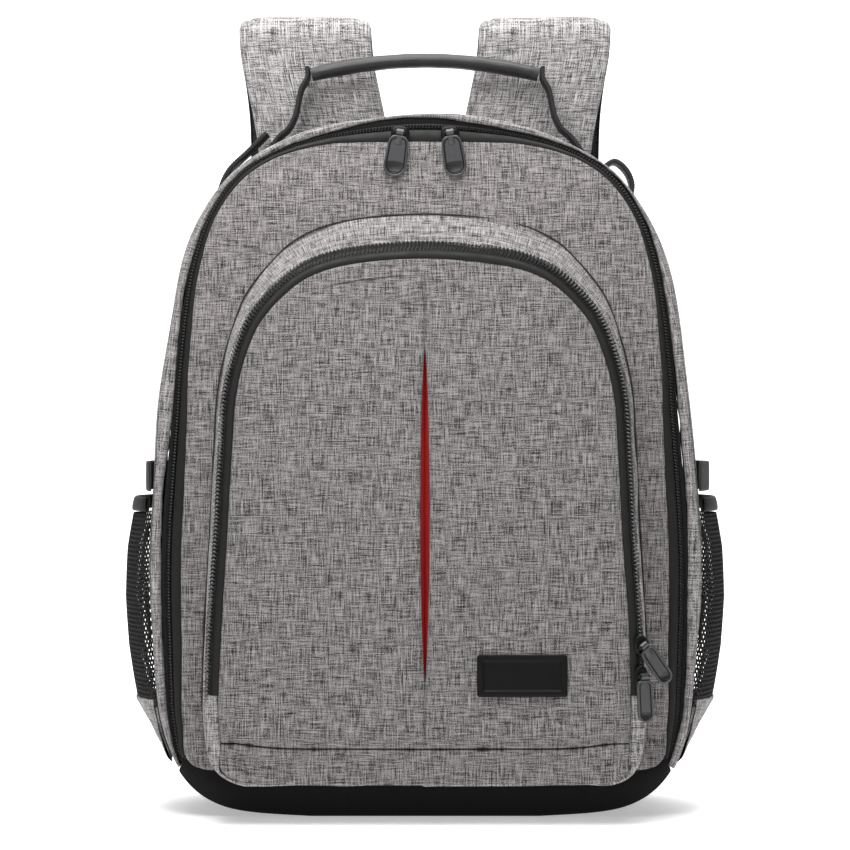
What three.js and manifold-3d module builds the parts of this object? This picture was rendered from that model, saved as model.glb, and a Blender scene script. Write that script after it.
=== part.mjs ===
// A camera backpack standing on its base, in millimetres.
// X runs to the right seen from the front, the front faces -Y and Z is up from the floor.
import * as THREE from "three";
import { mergeVertices } from "three/addons/utils/BufferGeometryUtils.js";
import Module from "manifold-3d";

const wasm = await Module();
wasm.setup();

// Driving sizes
const GAP = 0.3; // clearance between pieces that touch
const POINTS = 56; // points round each outline, an even number
const BODY = { height: 424, half: 165, backY: 66, rimY: -30, lean: 16, bulge: 4, wall: 5, rim: 6 };
const BASE = { height: 27, wall: 4, tuck: 5, proud: 1.5, front: 0.93 };
const BACK = { thick: 14, round: 7 };
const LID = { low: 27, thick: 5, rise: 2, dome: 6, bevel: 1.5 };
const MAIN_ZIP = { low: 28, width: 14, thick: 1.6, lidSink: 1, coilSink: 0.6, sink: 3 };
const MAIN_ZIP_PARTS = { tape: 0.5, coil: 0.76 }; // shares of the zip's width, from the lid outwards
const POCKET = { low: 24, height: 321, half: 129, deep: 40, shallow: 16, dome: 5 };
const POCKET_WALL = { side: 3.5, top: 16.6, bottom: 1, thick: 2, set: 3, fold: 0.55 };
const POCKET_PANEL = { thick: 3, seam: 44, sideZip: 8.2, topZip: 10.5, coil: 2.8, bevel: 1 };
const PANEL_RINGS = { back: 0.5, edge: 0.985, middle: 0.7, inner: 0.35 }; // shares of a panel's outline
const POCKET_ZIP = { low: 75, thick: 1.6, sink: 0.5 };
const SLIT = { low: 84, high: 281, half: 2.8, lining: 9, narrow: 0.3, depth: 3.8, thick: 1.5 };
const LABEL = { x: 57, z: 88, width: 53, height: 24.5, corner: 1.5, thick: 1.4, rim: 0.8 };
const LABEL_RIM = { lip: 3.6, well: 4.2 }; // widths of the raised rim, at its top and its foot
const NET = { front: -24, back: 60, low: 32, split: 68, high: 183, binding: 8, wall: 1.5, round: 0.6 };
const NET_TRIM = { foot: 2, binding: 2.5, clear: 0.6 };
const SIDE_STRAP = { front: -22, back: 58, z: 195, width: 18, thick: 2, left: 1.5, right: 5 };
const STRAP = { width: 84, taper: 26, cover: 8, lining: 2.7, edge: 1.4, foldR: 5, clear: 1, swing: 27 };
const STRAP_STATIONS = { before: 0.22, after: 0.29 }; // shares of its length, each side of the fold
const WEBBING = { width: 25, thick: 2 };
const LOCK = { width: 38, height: 30, thick: 4, bar: 5, slot: 5, slope: 1 };
const HANDLE = { half: 72, up: 1.078, rise: 9, radius: 4.6, oval: 1.25, end: 0.72, width: 20, thick: 3.2 };
const CORNER = { inset: 2, width: 20, thick: 3.6 };
const SEWN = 1.2; // clearance of sewn webbing from the body

const SLIDER = { length: 11, width: 8, thick: 2.4, rise: 2.9, span: 7.6, rod: 0.9, leg: 1.3, foot: 2.4 };
const MAIN_PULLS = { spread: 15, up: 0.9705, tilt: 9, width: 14 };
const POCKET_PULLS = { upper: 106, lower: 88, turn: 20, clear: 2.2, upperHang: 36, lowerHang: 3 };
const PULL = { length: 27, width: 10, thick: 2.2, barrel: 2.3, rim: 1.3, sink: 0.6, window: 6 };
const PULL_FIT = { play: 0.35, throat: 1, web: 4 };

// Half outlines, bottom centre to top centre: height share and half-width share
const BODY_OUTLINE = [
  { up: 0, out: 0 }, { up: 0, out: 0.42 }, { up: 0.0156, out: 0.745 }, { up: 0.052, out: 0.873 },
  { up: 0.123, out: 0.953 }, { up: 0.25, out: 0.99 }, { up: 0.42, out: 1 }, { up: 0.62, out: 0.955 },
  { up: 0.79, out: 0.884 }, { up: 0.865, out: 0.802 }, { up: 0.918, out: 0.694 },
  { up: 0.955, out: 0.54 }, { up: 0.982, out: 0.345 }, { up: 1, out: 0 },
];
const POCKET_OUTLINE = [
  { up: 0, out: 0 }, { up: 0, out: 0.5 }, { up: 0.004, out: 0.86 }, { up: 0.035, out: 0.968 },
  { up: 0.1, out: 1 }, { up: 0.25, out: 0.998 }, { up: 0.465, out: 0.968 }, { up: 0.61, out: 0.951 },
  { up: 0.713, out: 0.935 }, { up: 0.795, out: 0.888 }, { up: 0.868, out: 0.81 },
  { up: 0.93, out: 0.675 }, { up: 0.961, out: 0.569 }, { up: 0.985, out: 0.4 }, { up: 1, out: 0 },
];
// How far the side pocket stands out, by height share of the pocket
const NET_SWELL = [
  { up: 0, out: 0 }, { up: 0.13, out: 0.32 }, { up: 0.24, out: 0.78 }, { up: 0.45, out: 0.98 },
  { up: 0.65, out: 1 }, { up: 0.85, out: 0.87 }, { up: 1.06, out: 0.52 },
];
const NET_DEPTH = 14;
// Widths of the rim's roll and of the main zip at heights of the body: shares of BODY.rim and MAIN_ZIP.width
const LID_EDGE = [
  { up: 0, rim: 1, zip: 0.57 }, { up: 0.05, rim: 0.42, zip: 0.32 }, { up: 0.085, rim: 0.5, zip: 0.36 },
  { up: 0.12, rim: 0.58, zip: 0.61 }, { up: 0.18, rim: 0.72, zip: 0.77 }, { up: 0.236, rim: 0.67, zip: 0.93 },
  { up: 0.32, rim: 0.75, zip: 0.99 }, { up: 0.4, rim: 0.83, zip: 1 }, { up: 0.46, rim: 0.92, zip: 0.99 },
  { up: 0.52, rim: 1, zip: 0.88 }, { up: 0.575, rim: 0.92, zip: 0.81 }, { up: 0.63, rim: 0.75, zip: 0.69 },
  { up: 0.69, rim: 0.67, zip: 0.64 }, { up: 0.745, rim: 0.7, zip: 0.51 }, { up: 0.8, rim: 0.67, zip: 0.46 },
  { up: 0.86, rim: 0.5, zip: 0.34 }, { up: 0.9, rim: 0.43, zip: 0.33 }, { up: 0.93, rim: 0.37, zip: 0.31 },
  { up: 0.95, rim: 0.37, zip: 0.31 }, { up: 0.965, rim: 0.43, zip: 0.4 }, { up: 0.982, rim: 0.5, zip: 0.57 },
  { up: 1, rim: 0.42, zip: 1.07 },
];
// Routes: shares of the body's half width and height, and of the strap's swing behind the body
const STRAP_RISE = [{ out: 0.394, up: 0.877 }, { out: 0.418, up: 0.991 }, { out: 0.461, up: 1.111 }];
const STRAP_FOLD = { out: 0.467, up: 1.144 };
const STRAP_FALL = [
  { out: 0.458, back: 0.185, up: 1.111 }, { out: 0.43, back: 0.444, up: 1.014 },
  { out: 0.44, back: 0.889, up: 0.825 }, { out: 0.49, back: 1, up: 0.637 },
  { out: 0.55, back: 0.704, up: 0.472 }, { out: 0.6, back: 0.296, up: 0.358 },
];
const HANDLE_LEG = [
  { out: 0.4745, up: 1.0557 }, { out: 0.498, up: 1.016 }, { out: 0.523, up: 0.997 }, { out: 0.56, up: 0.984 },
];
const HANDLE_FOOT = [0.934, 0.922];
const CORNER_TAUT = [
  { out: 0.606, up: 0.99 }, { out: 0.679, up: 0.962 }, { out: 0.752, up: 0.934 }, { out: 0.785, up: 0.905 },
];
const CORNER_SLACK = [
  { out: 0.685, up: 0.939 }, { out: 0.727, up: 0.948 }, { out: 0.77, up: 0.936 }, { out: 0.794, up: 0.915 },
];
const CORNER_FOOT = [0.877, 0.854];
// The lower webbing below its buckle: its height is a share of the buckle slot's
const WEBBING_FALL = [
  { out: 0.624, up: 0.86 }, { out: 0.679, up: 0.61 }, { out: 0.715, up: 0.457 }, { out: 0.733, up: 0.287 },
];

// Colours
const GREY = { color: 0x8a8684, roughness: 0.92, metalness: 0 };
const PALE_GREY = { color: 0x9b9896, roughness: 0.92, metalness: 0 };
const BLACK_CLOTH = { color: 0x1a1a1a, roughness: 0.7, metalness: 0 };
const TAPE = { color: 0x2b2a29, roughness: 0.6, metalness: 0 };
const NET_BLACK = { color: 0x151515, roughness: 0.8, metalness: 0 };
const RUBBER = { color: 0x2a2a2a, roughness: 0.55, metalness: 0 };
const RED = { color: 0x7a0d0c, roughness: 0.85, metalness: 0 };
const PLASTIC = { color: 0x161616, roughness: 0.4, metalness: 0 };
const GUNMETAL = { color: 0x5d5d60, roughness: 0.4, metalness: 0.8 };

const group = new THREE.Group();
group.name = "camera_backpack";

// A named mesh with its own material
function add(name, geometry, look) {
  const mesh = new THREE.Mesh(geometry, new THREE.MeshStandardMaterial(look));
  mesh.name = name;
  group.add(mesh);
}

// Small helpers on points and numbers
const vec = (x, y, z) => new THREE.Vector3(x, y, z);
const radians = THREE.MathUtils.degToRad;
const range = (count) => Array.from({ length: count }, (_, i) => i);
const steps = (count) => range(count + 1).map((i) => i / count);
const mix = THREE.MathUtils.lerp;

// A geometry from points and triangles, turned to face outwards
function shell(points, faces) {
  const volume = faces.reduce((sum, [a, b, c]) => {
    const cross = vec(0, 0, 0).crossVectors(points[b], points[c]);
    return sum + points[a].dot(cross);
  }, 0);
  const turned = volume < 0 ? faces.map(([a, b, c]) => [a, c, b]) : faces;
  const geometry = new THREE.BufferGeometry().setFromPoints(points);
  geometry.setIndex(turned.flat());
  geometry.computeVertexNormals();
  return geometry;
}

// Quads between two neighbouring runs of indices of the same length
function strip(a, b, closed) {
  const count = closed ? a.length : a.length - 1;
  return range(count).flatMap((i) => {
    const j = (i + 1) % a.length;
    return [[a[i], a[j], b[j]], [a[i], b[j], b[i]]];
  });
}

// A closed body through loops of points; its two ends are fans, or it runs round into itself
function loft(loops, round = false, hubs = []) {
  const size = loops[0].length;
  const ids = loops.map((_, r) => range(size).map((i) => r * size + i));
  const points = loops.flat();
  const faces = range(loops.length - 1).flatMap((r) => strip(ids[r], ids[r + 1], true));
  if (round) return shell(points, [...faces, ...strip(ids.at(-1), ids[0], true)]);
  [[loops[0], ids[0], false], [loops.at(-1), ids.at(-1), true]].forEach(([loop, id, last]) => {
    const middle = loop.reduce((sum, p) => sum.add(p), vec(0, 0, 0)).divideScalar(size);
    points.push(hubs[Number(last)] ?? middle);
    const hub = points.length - 1;
    range(size).forEach((i) => {
      const j = (i + 1) % size;
      faces.push(last ? [id[i], id[j], hub] : [id[j], id[i], hub]);
    });
  });
  return shell(points, faces);
}

// A closed sheet between two grids of points of the same size
function sheet(front, back) {
  const rows = front.length;
  const columns = front[0].length;
  const ids = (offset) => range(rows).map((r) => range(columns).map((c) => offset + r * columns + c));
  const a = ids(0);
  const b = ids(rows * columns);
  const faces = [];
  range(rows - 1).forEach((r) => {
    faces.push(...strip(a[r], a[r + 1], false));
    faces.push(...strip(b[r + 1], b[r], false));
  });
  const side = (grid, c) => grid.map((row) => row[c]);
  faces.push(...strip(b[0], a[0], false), ...strip(a.at(-1), b.at(-1), false));
  faces.push(...strip(side(a, 0), side(b, 0), false));
  faces.push(...strip(side(b, columns - 1), side(a, columns - 1), false));
  return shell([...front.flat(), ...back.flat()], faces);
}

// Solids for cutting and joining, and back again
function solid(geometry) {
  const bare = new THREE.BufferGeometry();
  const source = geometry.index ? geometry.toNonIndexed() : geometry;
  bare.setAttribute("position", source.getAttribute("position"));
  const merged = mergeVertices(bare, 1e-4);
  return new wasm.Manifold(new wasm.Mesh({
    numProp: 3,
    vertProperties: new Float32Array(merged.attributes.position.array),
    triVerts: new Uint32Array(merged.index.array),
  }));
}

function surface(made) {
  const mesh = made.getMesh();
  const geometry = new THREE.BufferGeometry();
  geometry.setAttribute("position", new THREE.BufferAttribute(new Float32Array(mesh.vertProperties), 3));
  geometry.setIndex(new THREE.BufferAttribute(new Uint32Array(mesh.triVerts), 1));
  geometry.computeVertexNormals();
  return geometry;
}

const join = (first, ...others) => surface(others.reduce((sum, g) => sum.add(solid(g)), solid(first)));
const cut = (first, ...others) => surface(others.reduce((sum, g) => sum.subtract(solid(g)), solid(first)));
const common = (a, b) => surface(solid(a).intersect(solid(b)));

// A box given by its middle and its size
function block(size, middle) {
  return new THREE.BoxGeometry(...size).translate(...middle);
}
const HUGE = 2000;
const above = (geometry, z) => common(geometry, block([HUGE, HUGE, HUGE], [0, 0, z + HUGE / 2]));
const below = (geometry, z) => common(geometry, block([HUGE, HUGE, HUGE], [0, 0, z - HUGE / 2]));

// A closed outline in the XZ plane from a table of shares, evenly spaced from the bottom centre
function outline(table, low, height, half) {
  const right = table.map(({ up, out }) => vec(out * half, 0, low + up * height));
  const left = right.slice(1, -1).reverse().map((p) => vec(-p.x, 0, p.z));
  const curve = new THREE.CatmullRomCurve3([...right, ...left], true, "centripetal");
  curve.arcLengthDivisions = 800;
  return curve.getSpacedPoints(POINTS).slice(0, POINTS).map((p) => vec(p.x, 0, Math.max(p.z, low)));
}

// The outline moved inwards by an amount that a function of each point and its normal gives
function drawIn(loop, amount) {
  return loop.map((p, i) => {
    const next = loop[(i + 1) % loop.length];
    const last = loop[(i + loop.length - 1) % loop.length];
    const normal = vec(next.z - last.z, 0, last.x - next.x).normalize();
    return p.clone().addScaledVector(normal, -amount(p, normal));
  });
}

// The outline moved inwards: by one amount at its sides, another at its top and its bottom
const inset = (loop, side, top, bottom = 0) => drawIn(loop, (p, normal) =>
  side * normal.x ** 2 + (normal.z > 0 ? top : bottom) * normal.z ** 2);

const blend = (a, b, share) => a.map((p, i) => p.clone().lerp(b[i], share));
const place = (loop, y) => loop.map((p) => vec(p.x, y(p.x, p.z), p.z));
const shrink = (loop, share, z) => loop.map((p) => vec(p.x * share, 0, z + (p.z - z) * share));

// The first row past a test, or the last, and never the very first
const reached = (rows, test) => {
  const i = rows.findIndex(test);
  return i < 0 ? rows.length - 1 : Math.max(1, i);
};

// One column of a table of shares, read at a place between its rows
function read(table, up, column = "out") {
  const i = reached(table, (row) => row.up >= up);
  const [a, b] = [table[i - 1], table[i]];
  return mix(a[column], b[column], (up - a.up) / (b.up - a.up));
}

// A flat band between two outlines, from one depth to another
function band(outer, inner, front, back) {
  return loft([place(outer, front), place(inner, front), place(inner, back), place(outer, back)], true);
}

// A padded panel inside an outline: rings from its back over its edge to its front
function panel(loop, middle, rings) {
  const hubs = [rings[0], rings.at(-1)].map(({ y }) => vec(0, y(0, middle), middle));
  return loft(rings.map(({ share, y }) => place(shrink(loop, share, middle), y)), false, hubs);
}

// Shape of the body
const bodyLoop = outline(BODY_OUTLINE, 0, BODY.height, BODY.half);
const rimAt = (z) => BODY.rimY + BODY.lean * (z / BODY.height) ** 2;
const swell = (share) => BODY.bulge * Math.sin(Math.PI * share);
const bodyY = (share) => (x, z) => mix(BODY.backY - GAP, rimAt(z), share);
const bodyRing = (share, inside) =>
  place(inset(bodyLoop, inside - swell(share), inside, inside), bodyY(share));
const rimWidth = (p) => BODY.rim * read(LID_EDGE, p.z / BODY.height, "rim");
const zipWidth = (p) => MAIN_ZIP.width * read(LID_EDGE, p.z / BODY.height, "zip");
const mouthLoop = drawIn(bodyLoop, rimWidth);

// A point a little way off the body's outline, on its right or left, at a height
function nearBody(hand, z, away, y) {
  const right = bodyLoop.slice(0, POINTS / 2 + 1);
  const i = reached(right, (p) => p.z >= z);
  const [a, b] = [right[i - 1], right[i]];
  const normal = vec(b.z - a.z, 0, a.x - b.x).normalize();
  const at = a.clone().lerp(b, (z - a.z) / (b.z - a.z)).addScaledVector(normal, away);
  return vec(hand * at.x, y, at.z);
}

// Half width of the body at a height and a depth
function sideAt(y, z) {
  const right = bodyLoop.slice(0, POINTS / 2 + 1);
  const i = reached(right, (p) => p.z >= z);
  const [a, b] = [right[i - 1], right[i]];
  const share = (BODY.backY - y) / (BODY.backY - rimAt(z));
  return mix(a.x, b.x, (z - a.z) / (b.z - a.z)) + swell(THREE.MathUtils.clamp(share, 0, 1));
}

function buildBody() {
  const outside = [0, 0.25, 0.5, 0.75, 1].map((share) => bodyRing(share, 0));
  const inside = [place(mouthLoop, bodyY(1)), bodyRing(0.5, BODY.wall), bodyRing(0, BODY.wall)];
  add("side_gusset", above(loft([...outside, ...inside], true), BASE.height + GAP), PALE_GREY);

  const tucked = place(inset(bodyLoop, BASE.tuck, BASE.tuck, BASE.tuck), (x, z) => rimAt(z) - BASE.proud);
  const block = loft([...[0, 0.5, 1].map((share) => bodyRing(share, 0)), tucked]);
  const hollow = [-0.1, 0.5, BASE.front].map((share) => bodyRing(share, BASE.wall));
  add("base_tray", cut(below(block, BASE.height), loft(hollow)), BLACK_CLOTH);

  const flat = (y) => () => y;
  const face = BODY.backY + BACK.thick;
  add("back_panel", panel(bodyLoop, BODY.height / 2, [
    { share: PANEL_RINGS.back, y: flat(BODY.backY) },
    { share: 1, y: flat(BODY.backY) },
    { share: 1, y: flat(face - BACK.round) },
    { share: 1 - BACK.round / BODY.half, y: flat(face) },
    { share: PANEL_RINGS.middle, y: flat(face) },
  ]), BLACK_CLOTH);
}

// The lid and the zip that closes it
const lidLoop = drawIn(bodyLoop, (p) => rimWidth(p) + zipWidth(p)).map((p) => {
  // Its lower edge is drawn up off the base, and the sides follow it smoothly
  const lowest = rimWidth(bodyLoop[0]) + zipWidth(bodyLoop[0]);
  const share = Math.min(1, (p.z - lowest) / (2 * LID.low - lowest));
  return vec(p.x, 0, share < 1 ? LID.low * (1 + share ** 2) : p.z);
});
const arch = (x, half, up) => (1 - (x / half) ** 2) * 4 * up * (1 - up);
const lidAt = (x, z) => rimAt(z) - LID.rise - LID.dome * Math.max(0, arch(x, BODY.half, z / BODY.height));

function buildLid() {
  const back = (x, z) => lidAt(x, z) + LID.thick;
  const middle = BODY.height / 2;
  add("lid_panel", panel(lidLoop, middle, [
    { share: PANEL_RINGS.back, y: back }, { share: 1, y: back },
    { share: 1, y: (x, z) => lidAt(x, z) + LID.bevel },
    { share: PANEL_RINGS.edge, y: lidAt }, { share: PANEL_RINGS.middle, y: lidAt },
    { share: PANEL_RINGS.inner, y: lidAt },
  ]), GREY);
  const edge = (share, away) => inset(blend(lidLoop, mouthLoop, share), away, away, away);
  const zip = (name, outer, inner, front, look) => {
    const y = (x, z) => lidAt(x, z) + front;
    const rear = (x, z) => y(x, z) + MAIN_ZIP.thick;
    add(name, above(band(outer, inner, y, rear), MAIN_ZIP.low), look);
  };
  const { tape, coil } = MAIN_ZIP_PARTS;
  const seam = GAP / 2;
  zip("main_zip_lid_tape", edge(tape, seam), edge(0, -GAP), MAIN_ZIP.lidSink, TAPE);
  zip("main_zip_coil", edge(coil, seam), edge(tape, -seam), MAIN_ZIP.coilSink, NET_BLACK);
  zip("main_zip_body_tape", edge(1, GAP), edge(coil, -seam), MAIN_ZIP.sink, TAPE);
}

// The front pocket with its slit and its zip
const rimLoop = outline(POCKET_OUTLINE, POCKET.low, POCKET.height, POCKET.half);
const pocketAt = (x, z) => {
  const up = THREE.MathUtils.clamp((z - POCKET.low) / POCKET.height, 0, 1);
  const depth = mix(POCKET.deep, POCKET.shallow, up);
  return rimAt(z) - LID.rise - depth - POCKET.dome * Math.max(0, arch(x, POCKET.half, up));
};
const behind = (distance) => (x, z) => pocketAt(x, z) + distance;

// The almond outline of the slit
function almond() {
  const middle = (SLIT.low + SLIT.high) / 2;
  const tall = (SLIT.high - SLIT.low) / 2;
  return range(24).map((i) => {
    const turn = (i / 24) * 2 * Math.PI;
    const side = Math.sin(turn);
    const width = SLIT.half * Math.sign(side) * Math.abs(side) ** 1.5;
    return vec(width, 0, middle - tall * Math.cos(turn));
  });
}

function buildPocket() {
  const foot = inset(rimLoop, -POCKET_WALL.side, -POCKET_WALL.top, -POCKET_WALL.bottom);
  const inner = (loop) => inset(loop, POCKET_WALL.thick, POCKET_WALL.thick, POCKET_WALL.thick);
  const onLid = (x, z) => lidAt(x, z) - GAP;
  const atRim = behind(POCKET_WALL.set);
  const half = blend(foot, rimLoop, POCKET_WALL.fold);
  const between = (x, z) => mix(onLid(x, z), atRim(x, z), 0.5);
  add("pocket_gusset", loft([
    place(foot, onLid), place(half, between), place(rimLoop, atRim),
    place(inner(rimLoop), atRim), place(inner(half), between), place(inner(foot), onLid),
  ], true), PALE_GREY);

  const coilLoop = inset(rimLoop, POCKET_PANEL.coil, POCKET_PANEL.coil);
  const tapeLoop = inset(rimLoop, POCKET_PANEL.coil + GAP, POCKET_PANEL.coil + GAP);
  const panelLoop = inset(rimLoop, POCKET_PANEL.sideZip, POCKET_PANEL.topZip);
  const zip = (name, outer, within, sink, look) => {
    const made = band(outer, within, behind(sink), behind(sink + POCKET_ZIP.thick));
    add(name, above(made, POCKET_ZIP.low), look);
  };
  zip("pocket_zip_coil", rimLoop, coilLoop, 0, NET_BLACK);
  zip("pocket_zip_tape", tapeLoop, panelLoop, POCKET_ZIP.sink, TAPE);

  const rings = [
    { share: PANEL_RINGS.back, y: behind(POCKET_PANEL.thick) },
    { share: 1, y: behind(POCKET_PANEL.thick - GAP) }, { share: 1, y: behind(POCKET_PANEL.bevel) },
    { share: PANEL_RINGS.edge, y: pocketAt }, { share: PANEL_RINGS.middle, y: pocketAt },
    { share: PANEL_RINGS.inner, y: pocketAt },
  ];
  const whole = panel(rimLoop, POCKET.low + POCKET.height / 2, rings);
  const opening = above(band(
    inset(rimLoop, -HUGE / 100, -HUGE / 100, 0), inset(panelLoop, GAP, GAP),
    () => -HUGE / 10, () => 0,
  ), POCKET_ZIP.low - GAP);
  const slit = loft([place(almond(), () => -HUGE / 10), place(almond(), () => 0)]);
  add("pocket_front", above(cut(whole, opening, slit), POCKET_PANEL.seam), GREY);
  add("pocket_lower_band", below(whole, POCKET_PANEL.seam - GAP), GREY);

  const lining = (depth) => steps(12).map((v) => [-1, 0, 1].map((side) => {
    const z = mix(SLIT.low - SLIT.lining, SLIT.high + SLIT.lining, v);
    const x = side * SLIT.lining * mix(SLIT.narrow, 1, Math.sin(Math.PI * v));
    return vec(x, pocketAt(x, z) + depth, z);
  }));
  add("slit_lining", sheet(lining(SLIT.depth), lining(SLIT.depth + SLIT.thick)), RED);
  buildLabel();
}

// A rounded rectangle in the XZ plane
function roundedLoop(x, z, width, height, corner) {
  return range(16).map((i) => {
    const quarter = Math.floor(i / 4);
    const turn = (quarter + (i % 4) / 3) * (Math.PI / 2);
    const right = quarter === 0 || quarter === 3 ? 1 : -1;
    const top = quarter < 2 ? 1 : -1;
    return vec(
      x + right * (width / 2 - corner) + corner * Math.cos(turn), 0,
      z + top * (height / 2 - corner) + corner * Math.sin(turn),
    );
  });
}

function buildLabel() {
  const { x, z, width, height, corner, thick, rim } = LABEL;
  const ring = (inward, depth) => roundedLoop(x, z, width - 2 * inward, height - 2 * inward, corner)
    .map((p) => vec(p.x, pocketAt(p.x, p.z) - depth, p.z));
  const clear = 2 * GAP;
  const middle = height / 4;
  add("label_patch", loft([
    ring(middle, clear), ring(0, clear), ring(0, clear + thick), ring(LABEL_RIM.lip, clear + thick),
    ring(LABEL_RIM.well, clear + thick - rim), ring(middle, clear + thick - rim),
  ]), RUBBER);
}

// One side: net pocket, its binding, its cloth foot and the strap above it
function buildSide(name, hand, strapSwell) {
  const span = NET.high - NET.low;
  const wall = (low, high, thick, rows) => {
    const grid = (offset) => steps(rows).map((v) => steps(8).map((u) => {
      const y = mix(NET.front, NET.back, u);
      const z = mix(low, high, v);
      const out = NET_DEPTH * read(NET_SWELL, (z - NET.low) / span) * Math.sin(Math.PI * u) ** NET.round;
      return vec(hand * (sideAt(y, z) + NET_TRIM.clear + out + offset), y, z);
    }));
    return sheet(grid(thick), grid(0));
  };
  add(`side_pocket_net_${name}`, wall(NET.split + GAP, NET.high, NET.wall, 7), NET_BLACK);
  add(`side_pocket_foot_${name}`, wall(NET.low, NET.split, NET_TRIM.foot, 4), PALE_GREY);
  const top = NET.high + GAP;
  add(`side_pocket_binding_${name}`, wall(top, top + NET.binding, NET_TRIM.binding, 1), BLACK_CLOTH);

  const low = SIDE_STRAP.z;
  const strap = (offset) => [low, low + SIDE_STRAP.width].map((z) => steps(8).map((u) => {
    const y = mix(SIDE_STRAP.front, SIDE_STRAP.back, u);
    const out = strapSwell * Math.sin(Math.PI * u);
    return vec(hand * (sideAt(y, z) + NET_TRIM.clear + out + offset), y, z);
  }));
  add(`side_strap_${name}`, sheet(strap(SIDE_STRAP.thick), strap(0)), BLACK_CLOTH);
}

// Webbing along a route: its width lies along one direction and its thickness across it
function webbing(route, across, width, thick, rows) {
  const curve = new THREE.CatmullRomCurve3(route, false, "centripetal");
  const grid = (offset) => steps(rows).map((s) => {
    const normal = vec(0, 0, 0).crossVectors(across, curve.getTangentAt(s)).normalize();
    const middle = curve.getPointAt(s).addScaledVector(normal, offset);
    return [-0.5, 0.5].map((side) => middle.clone().addScaledVector(across, side * width));
  });
  return sheet(grid(thick / 2), grid(-thick / 2));
}

// A point from a row of a route, on one side of the body
const along = (hand, y) => ({ out, up }) => vec(hand * out * BODY.half, y, up * BODY.height);
const rearY = BODY.backY + BACK.thick + GAP;

// A shoulder strap: up from the back panel, folded over, and down behind it to its buckle
function buildStrap(name, hand) {
  const { foldR, swing, cover, clear, lining } = STRAP;
  const foldY = rearY + cover + foldR + clear;
  const fold = [0.75, 0.5, 0.25].map((share) => {
    const turn = Math.PI * share;
    return along(hand, foldY + foldR * Math.cos(turn))(STRAP_FOLD).add(vec(0, 0, foldR * Math.sin(turn)));
  });
  const route = [
    ...STRAP_RISE.map(along(hand, foldY - foldR)), ...fold,
    ...STRAP_FALL.map((row) => along(hand, foldY + row.back * swing)(row)),
  ];
  const curve = new THREE.CatmullRomCurve3(route, false, "centripetal");
  curve.arcLengthDivisions = 800;
  const { before, after } = STRAP_STATIONS;
  const stations = [...steps(6).map((s) => s * before), ...steps(6).map((s) => mix(before, after, s)),
    ...steps(12).map((s) => mix(after, 1, s))].filter((s, i, all) => s !== all[i - 1]);
  const grid = (places, offset) => stations.map((s) => {
    const normal = vec(0, 0, 0).crossVectors(vec(1, 0, 0), curve.getTangentAt(s)).normalize();
    const width = STRAP.width - STRAP.taper * THREE.MathUtils.smoothstep(s, 0.6, 1);
    return places.map((w) => curve.getPointAt(s)
      .add(vec((w * width) / 2, 0, 0)).addScaledVector(normal, offset(Math.abs(w))));
  });
  const full = (w) => STRAP.edge + (cover - STRAP.edge) * Math.sqrt(1 - Math.min(1, w) ** 6);
  const wide = [-1, -0.9, 0, 0.9, 1];
  const edges = [-1, 1];
  add(`shoulder_strap_${name}`, sheet(grid(wide, full), grid(wide, () => GAP / 2)), PALE_GREY);
  const under = sheet(grid(edges, () => -GAP / 2), grid(edges, () => -lining));
  add(`strap_lining_${name}`, under, BLACK_CLOTH);
  buildStrapEnd(name, hand, route.at(-1));
}

// The ladder lock hangs below the strap, and its webbing runs on to the body's lower corner
function buildStrapEnd(name, hand, end) {
  const { width, height, thick, bar, slot, slope } = LOCK;
  const lockY = end.y + STRAP.clear;
  const lockZ = end.z - height / 2 - STRAP.clear - GAP;
  const slots = [-1, 1].map((way) =>
    block([width - 2 * bar, thick * 2, slot], [0, 0, (way * (bar + slot)) / 2]));
  const frame = cut(block([width, thick, height], [0, 0, 0]), ...slots);
  add(`ladder_lock_${name}`, frame.translate(end.x, lockY, lockZ), PLASTIC);
  const slotZ = lockZ - (bar + slot) / 2;
  const flat = rearY + WEBBING.thick / 2;
  const depths = [lockY - 2 * thick, flat + thick, flat + SEWN, flat];
  const run = [
    vec(end.x, lockY + thick, slotZ + slope), vec(end.x, lockY - thick, slotZ - slope),
    ...WEBBING_FALL.map(({ out, up }, i) => vec(hand * out * BODY.half, depths[i], up * slotZ)),
  ];
  add(`strap_webbing_${name}`, webbing(run, vec(1, 0, 0), WEBBING.width, WEBBING.thick, 14), BLACK_CLOTH);
}

// The carry handle: a rubber grip on webbing legs sewn to the top
function buildHandle() {
  const { half, rise, radius, width, thick } = HANDLE;
  const y = BODY.backY;
  const low = HANDLE.up * BODY.height;
  const sides = 8;
  const rings = steps(12).map((s) => {
    const x = mix(-half, half, s);
    const slope = (-2 * rise * x) / half ** 2;
    const middle = vec(x, y, low + rise * (1 - (x / half) ** 2));
    const up = vec(-slope, 0, 1).normalize();
    const end = radius * Math.min(1, HANDLE.end + 4 * Math.min(s, 1 - s));
    return range(sides).map((i) => {
      const turn = (i / sides) * 2 * Math.PI;
      return middle.clone().addScaledVector(up, end * Math.sin(turn))
        .add(vec(0, end * HANDLE.oval * Math.cos(turn), 0));
    });
  });
  add("handle_grip", loft(rings), RUBBER);
  const top = half + thick / 2 + 3 * GAP;
  const off = thick / 2 + SEWN;
  [["left", -1], ["right", 1]].forEach(([name, hand]) => {
    const route = [
      vec(hand * top, y, low + radius), vec(hand * top, y, low - radius / 2),
      ...HANDLE_LEG.map(along(hand, y)),
      ...HANDLE_FOOT.map((up) => nearBody(hand, up * BODY.height, off, y)),
    ];
    add(`handle_webbing_${name}`, webbing(route, vec(0, 1, 0), width, thick, 10), BLACK_CLOTH);
  });
}

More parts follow.
